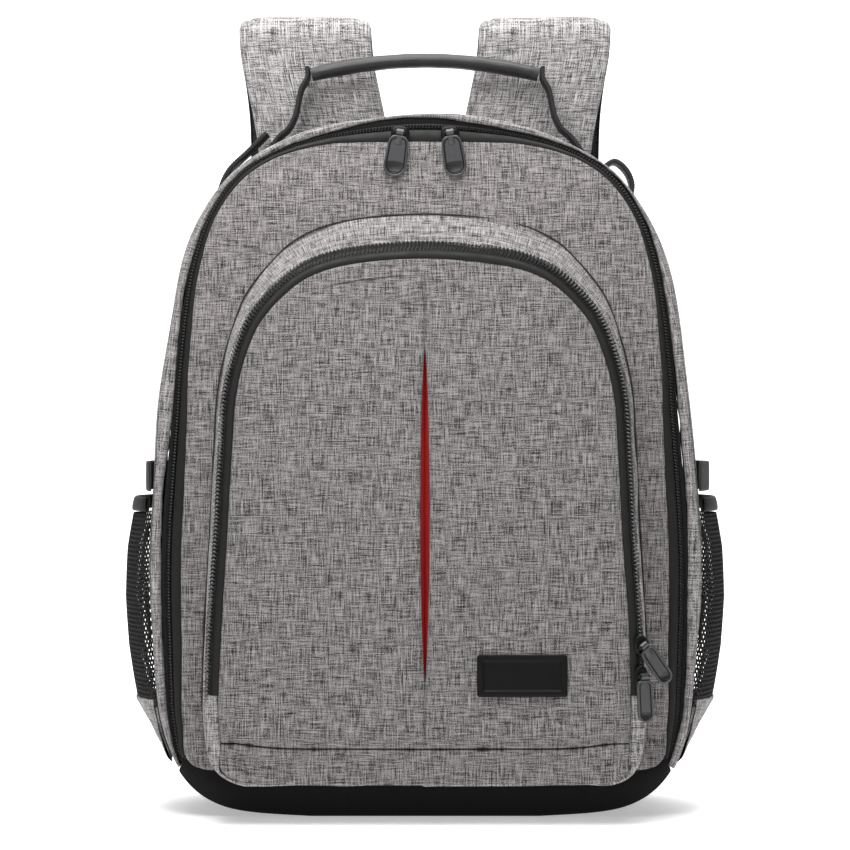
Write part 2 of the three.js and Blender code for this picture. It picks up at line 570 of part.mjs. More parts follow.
// The short webbing at each top corner: taut on the left, arched on the right
function buildCorners() {
  const { width, thick } = CORNER;
  const y = BODY.backY + CORNER.inset;
  [["left", -1, CORNER_TAUT], ["right", 1, CORNER_SLACK]].forEach(([name, hand, rows]) => {
    const foot = CORNER_FOOT.map((up) => nearBody(hand, up * BODY.height, thick / 2 + SEWN, y));
    const route = [...rows.map(along(hand, y)), ...foot];
    add(`corner_webbing_${name}`, webbing(route, vec(0, 1, 0), width, thick, 10), BLACK_CLOTH);
  });
}

// A zip slider with a staple bridge, and the pull whose barrel turns on the bridge's bar
function buildSlider(name, { anchor, zip, out, hang, wide = PULL.width }) {
  const bar = vec(0, 0, 0).crossVectors(hang, out).normalize();
  const basis = (x, z, at) => new THREE.Matrix4()
    .makeBasis(x, vec(0, 0, 0).crossVectors(z, x), z).setPosition(at);
  const { length, width, thick, rise, span, rod, leg, foot } = SLIDER;
  const plate = block([length, width, thick], [0, 0, thick / 2]).applyMatrix4(basis(zip, out, anchor));
  const legs = [-1, 1].map((way) => block(
    [leg, foot, rise + rod], [way * (span - leg) / 2, 0, thick + (rise + rod) / 2 - GAP],
  ).applyMatrix4(basis(bar, out, anchor)));
  const pivot = anchor.clone().addScaledVector(out, thick + rise);
  const turned = basis(bar, out, pivot);
  const round = (radius, size, sides) =>
    new THREE.CylinderGeometry(radius, radius, size, sides).rotateZ(Math.PI / 2).applyMatrix4(turned);
  add(`${name}_slider`, join(plate, ...legs, round(rod, span - leg, 10)), GUNMETAL);

  const { barrel, rim, sink, window } = PULL;
  const { play, throat, web } = PULL_FIT;
  const flat = new THREE.Matrix4().makeBasis(bar, hang, vec(0, 0, 0).crossVectors(bar, hang))
    .setPosition(pivot);
  const front = vec(0, 0, 0).crossVectors(bar, hang).dot(out) > 0 ? 1 : -1;
  const capsule = (inward) => range(20).map((i) => {
    const turn = ((i + 0.5) / 20) * 2 * Math.PI;
    const half = wide / 2 - inward;
    const middle = Math.sin(turn) > 0 ? PULL.length - wide / 2 : wide / 2;
    return vec(half * Math.cos(turn), middle + half * Math.sin(turn), 0);
  });
  const slab = (loop, low, high) => loft([low, high].map((z) => loop.map((p) => vec(p.x, p.y, front * z))));
  const face = PULL.thick / 2;
  const body = slab(capsule(0), -face, face);
  const well = slab(capsule(rim), face - sink, PULL.thick);
  const deeper = common(
    slab(capsule(rim), face - 2 * sink, PULL.thick),
    block([HUGE, window, HUGE], [0, PULL.length - window / 2 - rim, 0]),
  );
  const neck = span - 2 * leg - 2 * play;
  const notch = block([wide * 2, 2 * (barrel + throat), HUGE], [0, 0, 0]);
  const tongue = block([neck, barrel + web, PULL.thick], [0, (barrel + web) / 2, 0]);
  const plain = cut(body, notch, well, deeper).applyMatrix4(flat);
  const pull = join(plain, tongue.applyMatrix4(flat), round(barrel, neck, 12));
  add(`${name}_pull`, cut(pull, round(rod + play, HUGE / 100, 12)), GUNMETAL);
}

function buildZipPulls() {
  const forward = vec(0, -1, 0);
  const { spread, up, tilt, width } = MAIN_PULLS;
  const z = up * BODY.height;
  // A pull that would reach down over the pocket's wall leans out past it
  const wallTop = POCKET.low + POCKET.height + POCKET_WALL.top;
  const over = THREE.MathUtils.clamp((wallTop - z + PULL.length) / POCKET_WALL.top, 0, 1);
  const reach = over * (POCKET.shallow + PULL.barrel);
  [["main_left", -1], ["main_right", 1]].forEach(([name, hand]) => {
    const anchor = vec(hand * spread, lidAt(spread, z) - GAP, z);
    const hang = vec(hand * Math.sin(radians(tilt)), -reach / PULL.length, -Math.cos(radians(tilt)))
      .normalize();
    buildSlider(name, { anchor, zip: vec(1, 0, 0), out: forward, hang, wide: width });
  });
  const edge = POCKET.half - POCKET_PANEL.coil;
  const { upper, lower, turn, clear, upperHang, lowerHang } = POCKET_PULLS;
  const out = vec(Math.sin(radians(turn)), -Math.cos(radians(turn)), 0);
  const across = vec(-out.y, out.x, 0);
  [["pocket_upper", upper, upperHang], ["pocket_lower", lower, lowerHang]].forEach(([name, at, tilt]) => {
    const anchor = vec(edge, pocketAt(edge, at) - clear, at);
    const hang = across.clone().multiplyScalar(Math.sin(radians(tilt)))
      .add(vec(0, 0, -Math.cos(radians(tilt))));
    buildSlider(name, { anchor, zip: vec(0, 0, 1), out, hang });
  });
}

buildBody();
buildLid();
buildPocket();
buildSide("left", -1, SIDE_STRAP.left);
buildSide("right", 1, SIDE_STRAP.right);
buildStrap("left", -1);
buildStrap("right", 1);
buildHandle();
buildCorners();
buildZipPulls();

export default group;
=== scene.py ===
"""A camera backpack that stands on its base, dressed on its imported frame.

Lengths in this file are millimetres, in the frame's axes: X runs to the right seen from the
front, the front faces -Y and Z is up from the floor. They turn into metres where a mesh is made.
"""

import logging
import math
from dataclasses import dataclass, replace
from enum import Enum
from typing import Callable, Sequence

import bpy
import numpy as np
from numpy.typing import NDArray
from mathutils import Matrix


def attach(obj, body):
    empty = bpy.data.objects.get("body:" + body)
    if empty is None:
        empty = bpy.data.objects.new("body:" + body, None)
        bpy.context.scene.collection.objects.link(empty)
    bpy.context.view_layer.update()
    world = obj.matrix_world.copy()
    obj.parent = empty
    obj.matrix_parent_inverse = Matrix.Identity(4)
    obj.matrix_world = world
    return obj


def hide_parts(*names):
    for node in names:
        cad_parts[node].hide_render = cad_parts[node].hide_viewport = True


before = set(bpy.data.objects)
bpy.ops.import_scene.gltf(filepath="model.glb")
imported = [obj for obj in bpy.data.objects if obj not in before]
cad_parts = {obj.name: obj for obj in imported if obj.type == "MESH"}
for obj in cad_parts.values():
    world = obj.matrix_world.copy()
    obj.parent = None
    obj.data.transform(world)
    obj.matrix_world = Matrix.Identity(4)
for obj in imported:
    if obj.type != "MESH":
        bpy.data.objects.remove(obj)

Array = NDArray[np.float64]
Depth = Callable[[Array, Array], Array]
Triple = tuple[float, float, float]
Level = tuple[int, int, int]
Socket = bpy.types.NodeSocket
LOG = logging.getLogger("backpack")

# A millimetre in metres, the gap between two nodes, and the points of an outline
METRE = 0.001
GAP = 0.3
OUTLINE_POINTS = 560
# The middle of the body, and the way that its front faces
HEART = (0.0, 18.0, 200.0)
FORWARD = np.array([0.0, -1.0, 0.0])


# Numbers and curves


def smooth(value: Array | float, low: float, high: float) -> Array:
    """Zero below low, one above high, and an S curve in between."""
    share = np.clip((np.asarray(value, dtype=float) - low) / (high - low), 0.0, 1.0)
    return share * share * (3 - 2 * share)


def bump(value: Array, middle: float, width: float) -> Array:
    """A bell of height one round a middle value."""
    return np.exp(-(((value - middle) / width) ** 2))


def unit(vectors: Array) -> Array:
    """The vectors at length one."""
    return vectors / np.maximum(np.linalg.norm(vectors, axis=-1, keepdims=True), 1e-9)


def mix(a: Array | float, b: Array | float, share: Array | float) -> Array:
    """A straight blend from a to b."""
    return np.asarray(a) * (1 - np.asarray(share)) + np.asarray(b) * np.asarray(share)


def hermite_run(points: Array, closed: bool, per: int = 40) -> Array:
    """A dense centripetal Catmull-Rom curve through points.

    Each stretch is the cubic whose end slopes are the centripetal ones: the differences of the
    neighbouring points over the square roots of their distances.

    Args:
        points: the points, one a row.
        closed: whether the last point joins the first.
        per: samples on each stretch.

    Returns:
        The samples, one a row.
    """
    if closed:
        padded = np.vstack([points[-1:], points, points[:2]])
    else:
        padded = np.vstack([2 * points[0] - points[1], points, 2 * points[-1] - points[-2]])
    p0, p1, p2, p3 = (padded[k : len(padded) - 3 + k][:, None, :] for k in range(4))
    d0, d1, d2 = (
        np.sqrt(np.linalg.norm(b - a, axis=-1, keepdims=True)) for a, b in ((p0, p1), (p1, p2), (p2, p3))
    )
    m1 = ((p1 - p0) / d0 - (p2 - p0) / (d0 + d1) + (p2 - p1) / d1) * d1
    m2 = ((p2 - p1) / d1 - (p3 - p1) / (d1 + d2) + (p3 - p2) / d2) * d1
    t = np.linspace(0, 1, per, endpoint=False)[None, :, None]
    run = (
        (2 * t**3 - 3 * t**2 + 1) * p1 + (t**3 - 2 * t**2 + t) * m1 + (3 * t**2 - 2 * t**3) * p2
        + (t**3 - t**2) * m2
    )
    return np.vstack([run.reshape(-1, points.shape[1]), points[:1] if closed else points[-1:]])


def run_length(points: Array) -> Array:
    """The distance along a run of points to each of them."""
    return np.concatenate([[0.0], np.cumsum(np.linalg.norm(np.diff(points, axis=0), axis=1))])


def spaced(run: Array, count: int) -> Array:
    """The run again, at count places evenly spaced along it."""
    lengths = run_length(run)
    places = np.linspace(0, lengths[-1], count)
    return np.stack([np.interp(places, lengths, run[:, k]) for k in range(run.shape[1])], axis=1)


def all_forward(route: Array) -> Array:
    """The forward direction at every point of a route."""
    return np.broadcast_to(FORWARD, route.shape)


def ripple(a: Array, b: Array, seed: int, size: float, count: int = 6) -> Array:
    """A smooth unevenness between -1 and 1 over two flat coordinates.

    The sum of a few sine waves whose directions and phases come from the seed and whose lengths
    lie round the size, over the root of their count.
    """
    random = np.random.default_rng(seed)
    total = np.zeros(np.broadcast(a, b).shape)
    for turn, phase, share in zip(
        random.uniform(0, np.pi, count), random.uniform(0, 6.28, count), random.uniform(0.7, 1.6, count)
    ):
        total = total + np.sin((a * np.cos(turn) + b * np.sin(turn)) * 2 * np.pi / (size * share) + phase)
    return total / math.sqrt(count)


@dataclass(frozen=True)
class Crease:
    """A soft fold in a panel: a bell across a slanted line, dying out at its ends."""

    x: float
    z: float
    angle: float
    length: float
    width: float
    depth: float

    def at(self, x: Array, z: Array) -> Array:
        """The fold's height, times a bell along the line and one across it."""
        turn = math.radians(self.angle)
        along = (x - self.x) * math.cos(turn) + (z - self.z) * math.sin(turn)
        across = (z - self.z) * math.cos(turn) - (x - self.x) * math.sin(turn)
        return self.depth * np.exp(
            -((2 * along / self.length) ** 2)
        ) * np.exp(-((across / self.width) ** 2))


# The body's shape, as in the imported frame


@dataclass(frozen=True)
class Outline:
    """A closed outline in the XZ plane: evenly spaced points from the bottom middle, right side first."""

    xz: Array

    @classmethod
    def from_table(
        cls, table: Sequence[tuple[float, float]], low: float, height: float, half: float
    ) -> "Outline":
        """The smooth mirrored curve through a table of (height share, half width share)."""
        up, out = np.array(table).T
        right = np.stack([out * half, low + up * height], axis=1)
        left = right[1:-1][::-1] * [-1, 1]
        run = spaced(hermite_run(np.vstack([right, left]), True), OUTLINE_POINTS + 1)[:-1]
        run[:, 1] = np.maximum(run[:, 1], low)
        return cls(run)

    def normals(self) -> Array:
        """Outward directions: the slope between the neighbours, turned a quarter."""
        slope = np.roll(self.xz, -1, axis=0) - np.roll(self.xz, 1, axis=0)
        return unit(np.stack([slope[:, 1], -slope[:, 0]], axis=1))

    def inset(self, side: float, top: float, bottom: float = 0.0) -> "Outline":
        """Moved inwards by one amount at the sides, and others at the top and bottom."""
        normal = self.normals()
        amount = side * normal[:, :1] ** 2 + np.where(normal[:, 1:] > 0, top, bottom) * normal[:, 1:] ** 2
        return Outline(self.xz - normal * amount)

    def draw_in(self, amount: Array) -> "Outline":
        """Moved inwards by an amount at each point."""
        return Outline(self.xz - self.normals() * amount[:, None])

    def blend(self, other: "Outline", share: float) -> "Outline":
        """Part of the way to another outline."""
        return Outline(mix(self.xz, other.xz, share))

    def at(self, depth: Depth) -> Array:
        """The outline's points in space, at the depth Y that a function of X and Z gives."""
        x, z = self.xz.T
        return np.stack([x, depth(x, z), z], axis=1)

    def lengths(self) -> Array:
        """The distance along the outline to each point."""
        return run_length(self.xz)


# Height share and half width share of the body's outline and of the pocket's
BODY_TABLE = (
    (0, 0), (0, 0.42), (0.0156, 0.745), (0.052, 0.873), (0.123, 0.953), (0.25, 0.99), (0.42, 1),
    (0.62, 0.955), (0.79, 0.884), (0.865, 0.802), (0.918, 0.694), (0.955, 0.54), (0.982, 0.345), (1, 0),
)
POCKET_TABLE = (
    (0, 0), (0, 0.5), (0.004, 0.86), (0.035, 0.968), (0.1, 1), (0.25, 0.998), (0.465, 0.968), (0.61, 0.951),
    (0.713, 0.935), (0.795, 0.888), (0.868, 0.81), (0.93, 0.675), (0.961, 0.569), (0.985, 0.4), (1, 0),
)
# Height share, width of the rim's roll and width of the main zip
LID_EDGE = np.array((
    (0, 6, 8), (0.05, 2.5, 4.3), (0.085, 3, 5), (0.12, 3.7, 8.3), (0.18, 5.2, 9.9), (0.236, 5.5, 11.5),
    (0.32, 6.2, 12.1), (0.4, 7, 12), (0.46, 7.5, 11.8), (0.52, 7.8, 10.5), (0.575, 7.4, 9.4),
    (0.63, 6.4, 7.8), (0.69, 5.7, 7.3), (0.745, 5.4, 6.0), (0.8, 4.8, 5.6), (0.86, 3.4, 4.4),
    (0.9, 2.7, 4.5), (0.93, 2.4, 4.2), (0.95, 2.4, 4.2), (0.965, 2.6, 5.6), (0.982, 3, 8), (1, 2.5, 15),
))


@dataclass(frozen=True)
class BodyShape:
    """The shape that every panel lies on."""

    height: float = 424.0
    half: float = 165.0
    back: float = 66.0
    padding: float = 14.0
    rim: float = -30.0
    lean: float = 16.0
    bulge: float = 4.0
    lid_low: float = 27.0
    lid_rise: float = 2.0
    lid_dome: float = 6.0
    pocket_low: float = 24.0
    pocket_height: float = 321.0
    pocket_half: float = 129.0
    pocket_deep: float = 40.0
    pocket_shallow: float = 16.0
    pocket_dome: float = 5.0

    def body(self) -> Outline:
        """The outline of the whole body."""
        return Outline.from_table(BODY_TABLE, 0, self.height, self.half)

    def pocket(self) -> Outline:
        """The outline of the front pocket's rim."""
        return Outline.from_table(POCKET_TABLE, self.pocket_low, self.pocket_height, self.pocket_half)

    def rim_width(self, z: Array) -> Array:
        """The width of the rim's roll at a height."""
        return np.interp(z / self.height, LID_EDGE[:, 0], LID_EDGE[:, 1])

    def mouth(self, more: float = 0.0) -> Outline:
        """The rim's inner edge."""
        body = self.body()
        return body.draw_in(self.rim_width(body.xz[:, 1]) + more)

    def lid(self) -> Outline:
        """The lid's outline: the body's, moved in by the rim and the zip, and lifted off the base.

        Below twice the lid's lowest height, the height is the lowest times one more than the
        square of the share up to there.
        """
        body = self.body()
        zip_width = np.interp(body.xz[:, 1] / self.height, LID_EDGE[:, 0], LID_EDGE[:, 2])
        inner = body.draw_in(self.rim_width(body.xz[:, 1]) + zip_width).xz.copy()
        lowest = LID_EDGE[0, 1] + LID_EDGE[0, 2]
        share = (inner[:, 1] - lowest) / (2 * self.lid_low - lowest)
        inner[:, 1] = np.where(share < 1, self.lid_low * (1 + share**2), inner[:, 1])
        return Outline(inner)

    def rim_at(self, x: Array, z: Array) -> Array:
        """The depth of the body's front rim, which leans back with the square of the height."""
        return self.rim + self.lean * (z / self.height) ** 2 + 0 * x

    def lid_at(self, x: Array, z: Array) -> Array:
        """The lid's face: in front of the rim by a rise and a parabolic dome."""
        up = z / self.height
        return self.rim_at(x, z) - self.lid_rise - self.lid_dome * np.maximum(0, dome(x, self.half, up))

    def pocket_at(self, x: Array, z: Array) -> Array:
        """The pocket's face: deeper towards its bottom, with a parabolic dome."""
        up = np.clip((z - self.pocket_low) / self.pocket_height, 0, 1)
        depth = mix(self.pocket_deep, self.pocket_shallow, up)
        return self.rim_at(x, z) - self.lid_rise - depth - self.pocket_dome * np.maximum(
            0, dome(x, self.pocket_half, up)
        )

    def side_at(self, y: Array, z: Array) -> Array:
        """Half width of the body at a depth and a height, with its swell between back and rim."""
        edge = self.body().xz[: OUTLINE_POINTS // 2 + 1]
        share = np.clip((self.back - y) / (self.back - self.rim_at(0 * z, z)), 0, 1)
        return np.interp(z, edge[:, 1], edge[:, 0]) + self.bulge * np.sin(np.pi * share)


def dome(x: Array, half: float, up: Array) -> Array:
    """A parabola across times one upwards, with its top of one in the middle."""
    return (1 - (x / half) ** 2) * 4 * up * (1 - up)


SHAPE = BodyShape()


# Meshes


@dataclass(frozen=True)
class Patch:
    """A grid of points with each one's place on the flat cloth."""

    points: Array
    flat: Array
    round_rows: bool = False
    round_columns: bool = False

    @classmethod
    def measured(cls, points: Array, round_rows: bool = False, round_columns: bool = False) -> "Patch":
        """A patch whose cloth places are the mean distances along its columns and its rows."""
        across = np.linalg.norm(np.diff(points, axis=1), axis=2).mean(axis=0)
        down = np.linalg.norm(np.diff(points, axis=0), axis=2).mean(axis=1)
        u, v = (np.concatenate([[0.0], np.cumsum(step)]) for step in (across, down))
        return cls(points, np.stack(np.meshgrid(u, v), axis=2), round_rows, round_columns)

    @classmethod
    def facing(cls, points: Array, x: int = 0, y: int = 2) -> "Patch":
        """A patch whose cloth places are two of its points' own coordinates."""
        return cls(points, points[..., [x, y]])

    def mirrored(self) -> "Patch":
        """The patch on the other side of the middle plane."""
        return replace(self, points=self.points * [-1, 1, 1], flat=self.flat * [-1, 1])

    def faces(self) -> Array:
        """The grid's quads, as numbers of its points."""
        rows, columns = self.points.shape[:2]
        r = np.arange(rows if self.round_rows else rows - 1)[:, None]
        c = np.arange(columns if self.round_columns else columns - 1)[None, :]
        r1, c1 = (r + 1) % rows, (c + 1) % columns
        corners = [r * columns + c, r * columns + c1, r1 * columns + c1, r1 * columns + c]
        return np.stack([k.reshape(-1) for k in np.broadcast_arrays(*corners)], axis=1)


@dataclass(frozen=True)
class CellPatch(Patch):
    """A patch of many separate closed cells, each of a few loops."""

    loops: int = 4

    def faces(self) -> Array:
        """The quads between neighbouring loops of the same cell."""
        sides = self.points.shape[1]
        cells = len(self.points) // self.loops
        k = np.arange(cells)[:, None, None] * self.loops + np.arange(self.loops)[None, :, None]
        after = np.arange(cells)[:, None, None] * self.loops + (
            np.arange(self.loops)[None, :, None] + 1
        ) % self.loops
        c = np.arange(sides)[None, None]
        corners = [
            k * sides + c, k * sides + (c + 1) % sides, after * sides + (c + 1) % sides, after * sides + c
        ]
        return np.stack([n.reshape(-1) for n in np.broadcast_arrays(*corners)], axis=1)


def turned_out(points: Array, faces: Array, middle: Sequence[float]) -> Array:
    """The quads, all reversed if on the whole they look towards the middle point."""
    a, b, c, d = (points[faces[:, k]] for k in range(4))
    normal = np.cross(c - a, d - b)
    return faces if np.sum(normal * ((a + b + c + d) / 4 - middle)) > 0 else faces[:, ::-1]


class Body(Enum):
    """The bodies that pieces ride on."""

    PACK = "pack"
    MAIN_LEFT = "main_left_pull"
    MAIN_RIGHT = "main_right_pull"
    POCKET_UPPER = "pocket_upper_pull"
    POCKET_LOWER = "pocket_lower_pull"


class Slot(Enum):
    """The record's material slots."""

    PALE_GREY = "pale_grey_cloth"
    GREY = "grey_cloth"
    BLACK = "black_cloth"
    TAPE = "zip_tape"
    NET = "black_net"
    RUBBER = "black_rubber"
    RED = "red_lining"
    PLASTIC = "black_plastic"
    METAL = "dark_metal"


@dataclass(frozen=True)
class Piece:
    """One named piece of the visual model: its patches, its finish and what it stands for."""

    name: str
    patches: Sequence[Patch]
    finish: "Finish"
    stands_for: Sequence[str] = ()
    body: Body = Body.PACK
    middle: Sequence[float] = HEART
    sharp: float = 50.0

    def build(self) -> bpy.types.Object:
        """Makes the mesh from whole arrays.

        Points that coincide are merged; faces with fewer than three corners left, or with the
        corners of an earlier face, are dropped.

        Returns:
            The object, in the scene, with its finish, its body and the nodes that it replaces.
        """
        points, flats, faces, start = [], [], [], 0
        for patch in self.patches:
            own = patch.points.reshape(-1, 3)
            faces.append(turned_out(own, patch.faces(), self.middle) + start)
            points.append(own)
            flats.append(patch.flat.reshape(-1, 2))
            start += len(own)
        quads = np.vstack(faces)
        merged, where = np.unique(np.round(np.vstack(points), 3), axis=0, return_inverse=True)
        ids = where.reshape(-1)[quads]
        keep = ids != np.roll(ids, 1, axis=1)
        folded = (ids[:, 0] == ids[:, 2]) | (ids[:, 1] == ids[:, 3])
        whole = np.flatnonzero((keep.sum(axis=1) > 2) & ~folded)
        corners = np.sort(np.where(keep, ids, -1)[whole], axis=1)
        whole = whole[np.sort(np.unique(corners, axis=0, return_index=True)[1])]
        quads, ids, keep = quads[whole], ids[whole], keep[whole]
        sizes = keep.sum(axis=1)
        mesh = bpy.data.meshes.new(self.name)
        mesh.vertices.add(len(merged))
        mesh.vertices.foreach_set("co", (merged * METRE).astype(np.float32).ravel())
        mesh.loops.add(int(sizes.sum()))
        mesh.loops.foreach_set("vertex_index", ids[keep].astype(np.int32))
        mesh.polygons.add(len(sizes))
        mesh.polygons.foreach_set(
            "loop_start", np.concatenate([[0], np.cumsum(sizes)[:-1]]).astype(np.int32)
        )
        mesh.update(calc_edges=True)
        layer = mesh.uv_layers.new(name="Flat")
        layer.data.foreach_set("uv", (np.vstack(flats)[quads[keep]] * METRE).astype(np.float32).ravel())
        mesh.validate()
        mesh.shade_smooth()
        mesh.set_sharp_from_angle(angle=math.radians(self.sharp))
        made = bpy.data.objects.new(self.name, mesh)
        bpy.context.scene.collection.objects.link(made)
        mesh.materials.append(self.finish.material())
        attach(made, self.body.value)
        if self.stands_for:
            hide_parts(*self.stands_for)
        LOG.info("%s: %d faces", self.name, len(sizes))
        return made


def tube(route: Array, section: Array, across: Array) -> Patch:
    """A closed section swept along a route, its two ends drawn together.

    A point is the route's point plus the section's first number along the across direction and
    its second along the normal, which is square to the route and to across.

    Args:
        route: n points.
        section: m pairs, or n by m pairs where the section changes along the route.
        across: one direction, or n of them.

    Returns:
        The swept patch, with n + 2 rows.
    """
    slope = unit(np.gradient(route, axis=0))
    across = unit(
        np.broadcast_to(across, route.shape) - slope * np.sum(across * slope, axis=1, keepdims=True)
    )
    normal = np.cross(slope, across)
    section = np.broadcast_to(section, (len(route),) + section.shape[-2:])
    rows = route[:, None] + section[..., :1] * across[:, None] + section[..., 1:] * normal[:, None]
    ends = [np.broadcast_to(rows[k].mean(axis=0), rows[k].shape) for k in (0, -1)]
    rows = np.vstack([ends[0][None], rows, ends[1][None]])
    round_section = run_length(section[0])
    along = run_length(route)
    along = np.concatenate([along[:1], along, along[-1:]])
    return Patch(rows, np.stack(np.meshgrid(round_section, along), axis=2), round_columns=True)


def oblong(width: float, height: float, count: int = 24, power: float = 0.35) -> Array:
    """A section between an ellipse and a rectangle: signed powers of the cosine and the sine."""
    turn = np.arange(count) * 2 * np.pi / count
    c, s = np.cos(turn), np.sin(turn)
    return np.stack(
        [width / 2 * np.sign(c) * np.abs(c) ** power, height / 2 * np.sign(s) * np.abs(s) ** power], axis=1
    )


def webbing(
    route: Array, across: Sequence[float], width: float, thick: float, pitch: float = 1.7,
    depth: float = 0.16,
) -> Patch:
    """Ribbed webbing along a few route points.

    The section is an oblong whose thickness grows and shrinks with a cosine of the distance
    along the route, which makes the woven ribs.
    """
    run = hermite_run(np.asarray(route, dtype=float), False)
    length = run_length(run)[-1]
    run = spaced(run, max(12, int(length / pitch * 5)))
    ribs = 1 - depth * (1 + np.cos(run_length(run) * 2 * np.pi / pitch)) / 2
    section = oblong(width, thick)[None] * np.stack([np.ones_like(ribs), ribs], axis=1)[:, None]
    section[[0, -1]] *= 0.9
    return tube(run, section, np.asarray(across, dtype=float))


def stitches(
    route: Array, outward: Array, pitch: float = 3.6, length: float = 2.6, thick: float = 0.42
) -> list[Patch]:
    """A run of thread stitches that lie on a surface.

    Each stitch is a short six-sided spindle along the route: its radius follows the root of a
    sine, so that it dives into the cloth at both ends.

    Args:
        route: points on the surface.
        outward: the surface's direction at each.
        pitch: the distance between two stitches.
        length: a stitch's length.
        thick: its thickness.

    Returns:
        One patch for each stitch.
    """
    along = run_length(route)
    count = int(along[-1] / pitch)
    turn = np.arange(6) * np.pi / 3
    share = np.linspace(0, 1, 5)
    made = []
    for start in np.arange(count) * pitch + pitch / 2:
        places = start + (share - 0.5) * length
        middle, normal = (
            np.stack([np.interp(places, along, field[:, k]) for k in range(3)], axis=1)
            for field in (route, outward)
        )
        size = thick / 2 * np.sqrt(np.maximum(np.sin(np.pi * share), 0.02))
        normal = unit(normal)
        side = unit(np.cross(np.gradient(middle, axis=0), normal))
        lift = (normal * (np.sin(np.pi * share)[:, None] * 0.25))
        ring = side[:, None] * np.cos(turn)[None, :, None] + normal[:, None] * np.sin(turn)[None, :, None]
        made.append(
            Patch.measured((middle + lift)[:, None] + ring * size[:, None, None], round_columns=True)
        )
    return made


def coil(route: Array, outward: Array, radius: Array | float, pitch: float, wire: float) -> Patch:
    """A zip's coil: a thin tube wound round a route.

    A point of the wire's middle is the route's point plus the radius times the cosine of the
    turn along the side direction and the sine of it along the outward one.
    """
    length = run_length(route)[-1]
    count = int(length / pitch) * 9
    middle = spaced(route, count)
    old = run_length(route) / length
    normal = unit(
        np.stack([np.interp(np.linspace(0, 1, count), old, outward[:, k]) for k in range(3)], axis=1)
    )
    radius = np.interp(np.linspace(0, 1, count), old, np.broadcast_to(radius, old.shape))[:, None]
    slope = unit(np.gradient(middle, axis=0))
    side = unit(np.cross(slope, normal))
    turn = (np.arange(count) * 2 * np.pi / 9)[:, None]
    wound = middle + side * np.cos(turn) * radius + normal * np.sin(turn) * np.minimum(0.75 * radius, 0.9)
    section = oblong(wire, wire, 5, 1.0)
    return tube(wound, section, normal * np.sin(turn) + side * np.cos(turn))


# Finishes


class Nodes:
    """A short way to write a shader tree: each call adds one node, wires it and gives its output."""

    def __init__(self, tree: bpy.types.NodeTree) -> None:
        """Keeps the tree."""
        self.tree = tree

    def add(
        self, kind: str, inputs: dict[str | int, object], output: str | int = 0, **settings: object
    ) -> Socket:
        """Adds a node, sets its settings, fills its inputs with values or links, and gives one output."""
        node = self.tree.nodes.new(kind)
        for key, value in settings.items():
            setattr(node, key, value)
        for key, value in inputs.items():
            if isinstance(value, Socket):
                self.tree.links.new(value, node.inputs[key])
            else:
                node.inputs[key].default_value = value
        return node.outputs[output]

    def math(self, operation: str, *values: object) -> Socket:
        """A Math node on up to three values."""
        return self.add("ShaderNodeMath", dict(enumerate(values)), operation=operation)

    def stretched(self, vector: Socket, scale: Triple) -> Socket:
        """The vector times a scale along each axis."""
        return self.add("ShaderNodeVectorMath", {0: vector, 1: scale}, operation="MULTIPLY")

    def noise(self, vector: Socket, scale: Triple, detail: float = 1.0) -> Socket:
        """Noise on a stretched vector, from 0 to 1."""
        return self.add(
            "ShaderNodeTexNoise", {"Vector": self.stretched(vector, scale), "Scale": 1.0, "Detail": detail},
            "Fac",
        )

    def mixed(self, share: object, a: object, b: object) -> Socket:
        """A colour between two, or a number's picture in colour."""
        node = self.tree.nodes.new("ShaderNodeMix")
        node.data_type = "RGBA"
        for key, value in ((0, share), (6, a), (7, b)):
            if isinstance(value, Socket):
                self.tree.links.new(value, node.inputs[key])
            else:
                node.inputs[key].default_value = value
        return node.outputs[2]

    def spread(
        self, value: Socket, low: float, high: float, to_low: float = 0.0, to_high: float = 1.0
    ) -> Socket:
        """A number's range stretched to another, held at its ends."""
        inputs = {"Value": value, 1: low, 2: high, 3: to_low, 4: to_high}
        return self.add("ShaderNodeMapRange", inputs, clamp=True)


class Weave(Enum):
    """The shared effects, one shader group each."""

    MELANGE = "Melange cloth"
    WEBBING = "Ribbed webbing"
    MESH = "Spacer mesh"
    MOULDED = "Moulded surface"
    METAL = "Cast metal"
    THREAD = "Twisted thread"


GROUP_INPUTS = (
    ("Place", "NodeSocketVector"), ("Dark", "NodeSocketColor"), ("Light", "NodeSocketColor"),
    ("Rough", "NodeSocketFloat"),
)
GROUP_OUTPUTS = (
    ("Color", "NodeSocketColor"), ("Roughness", "NodeSocketFloat"), ("Height", "NodeSocketFloat")
)


def effect_group(weave: Weave) -> bpy.types.NodeTree:
    """The shader group of an effect, made once.

    Its inputs are the place on the cloth in metres, a dark and a light colour and a roughness;
    its outputs are the colour, the roughness and the height.
    """
    if weave.value in bpy.data.node_groups:
        return bpy.data.node_groups[weave.value]
    tree = bpy.data.node_groups.new(weave.value, "ShaderNodeTree")
    for name, kind in GROUP_INPUTS:
        tree.interface.new_socket(name, in_out="INPUT", socket_type=kind)
    for name, kind in GROUP_OUTPUTS:
        tree.interface.new_socket(name, in_out="OUTPUT", socket_type=kind)
    given = tree.nodes.new("NodeGroupInput").outputs
    result = tree.nodes.new("NodeGroupOutput").inputs
    nodes = Nodes(tree)
    place = nodes.stretched(given["Place"], (1000, 1000, 1000))
    share, height, rough = EFFECTS[weave](nodes, place)
    tree.links.new(nodes.mixed(share, given["Dark"], given["Light"]), result["Color"])
    tree.links.new(nodes.math("MULTIPLY", given["Rough"], rough), result["Roughness"])
    tree.links.new(height, result["Height"])
    return tree


# An effect gives the share of the light colour, the height and the roughness factor
Marks = tuple[object, Socket, object]
Effect = Callable[[Nodes, Socket], Marks]
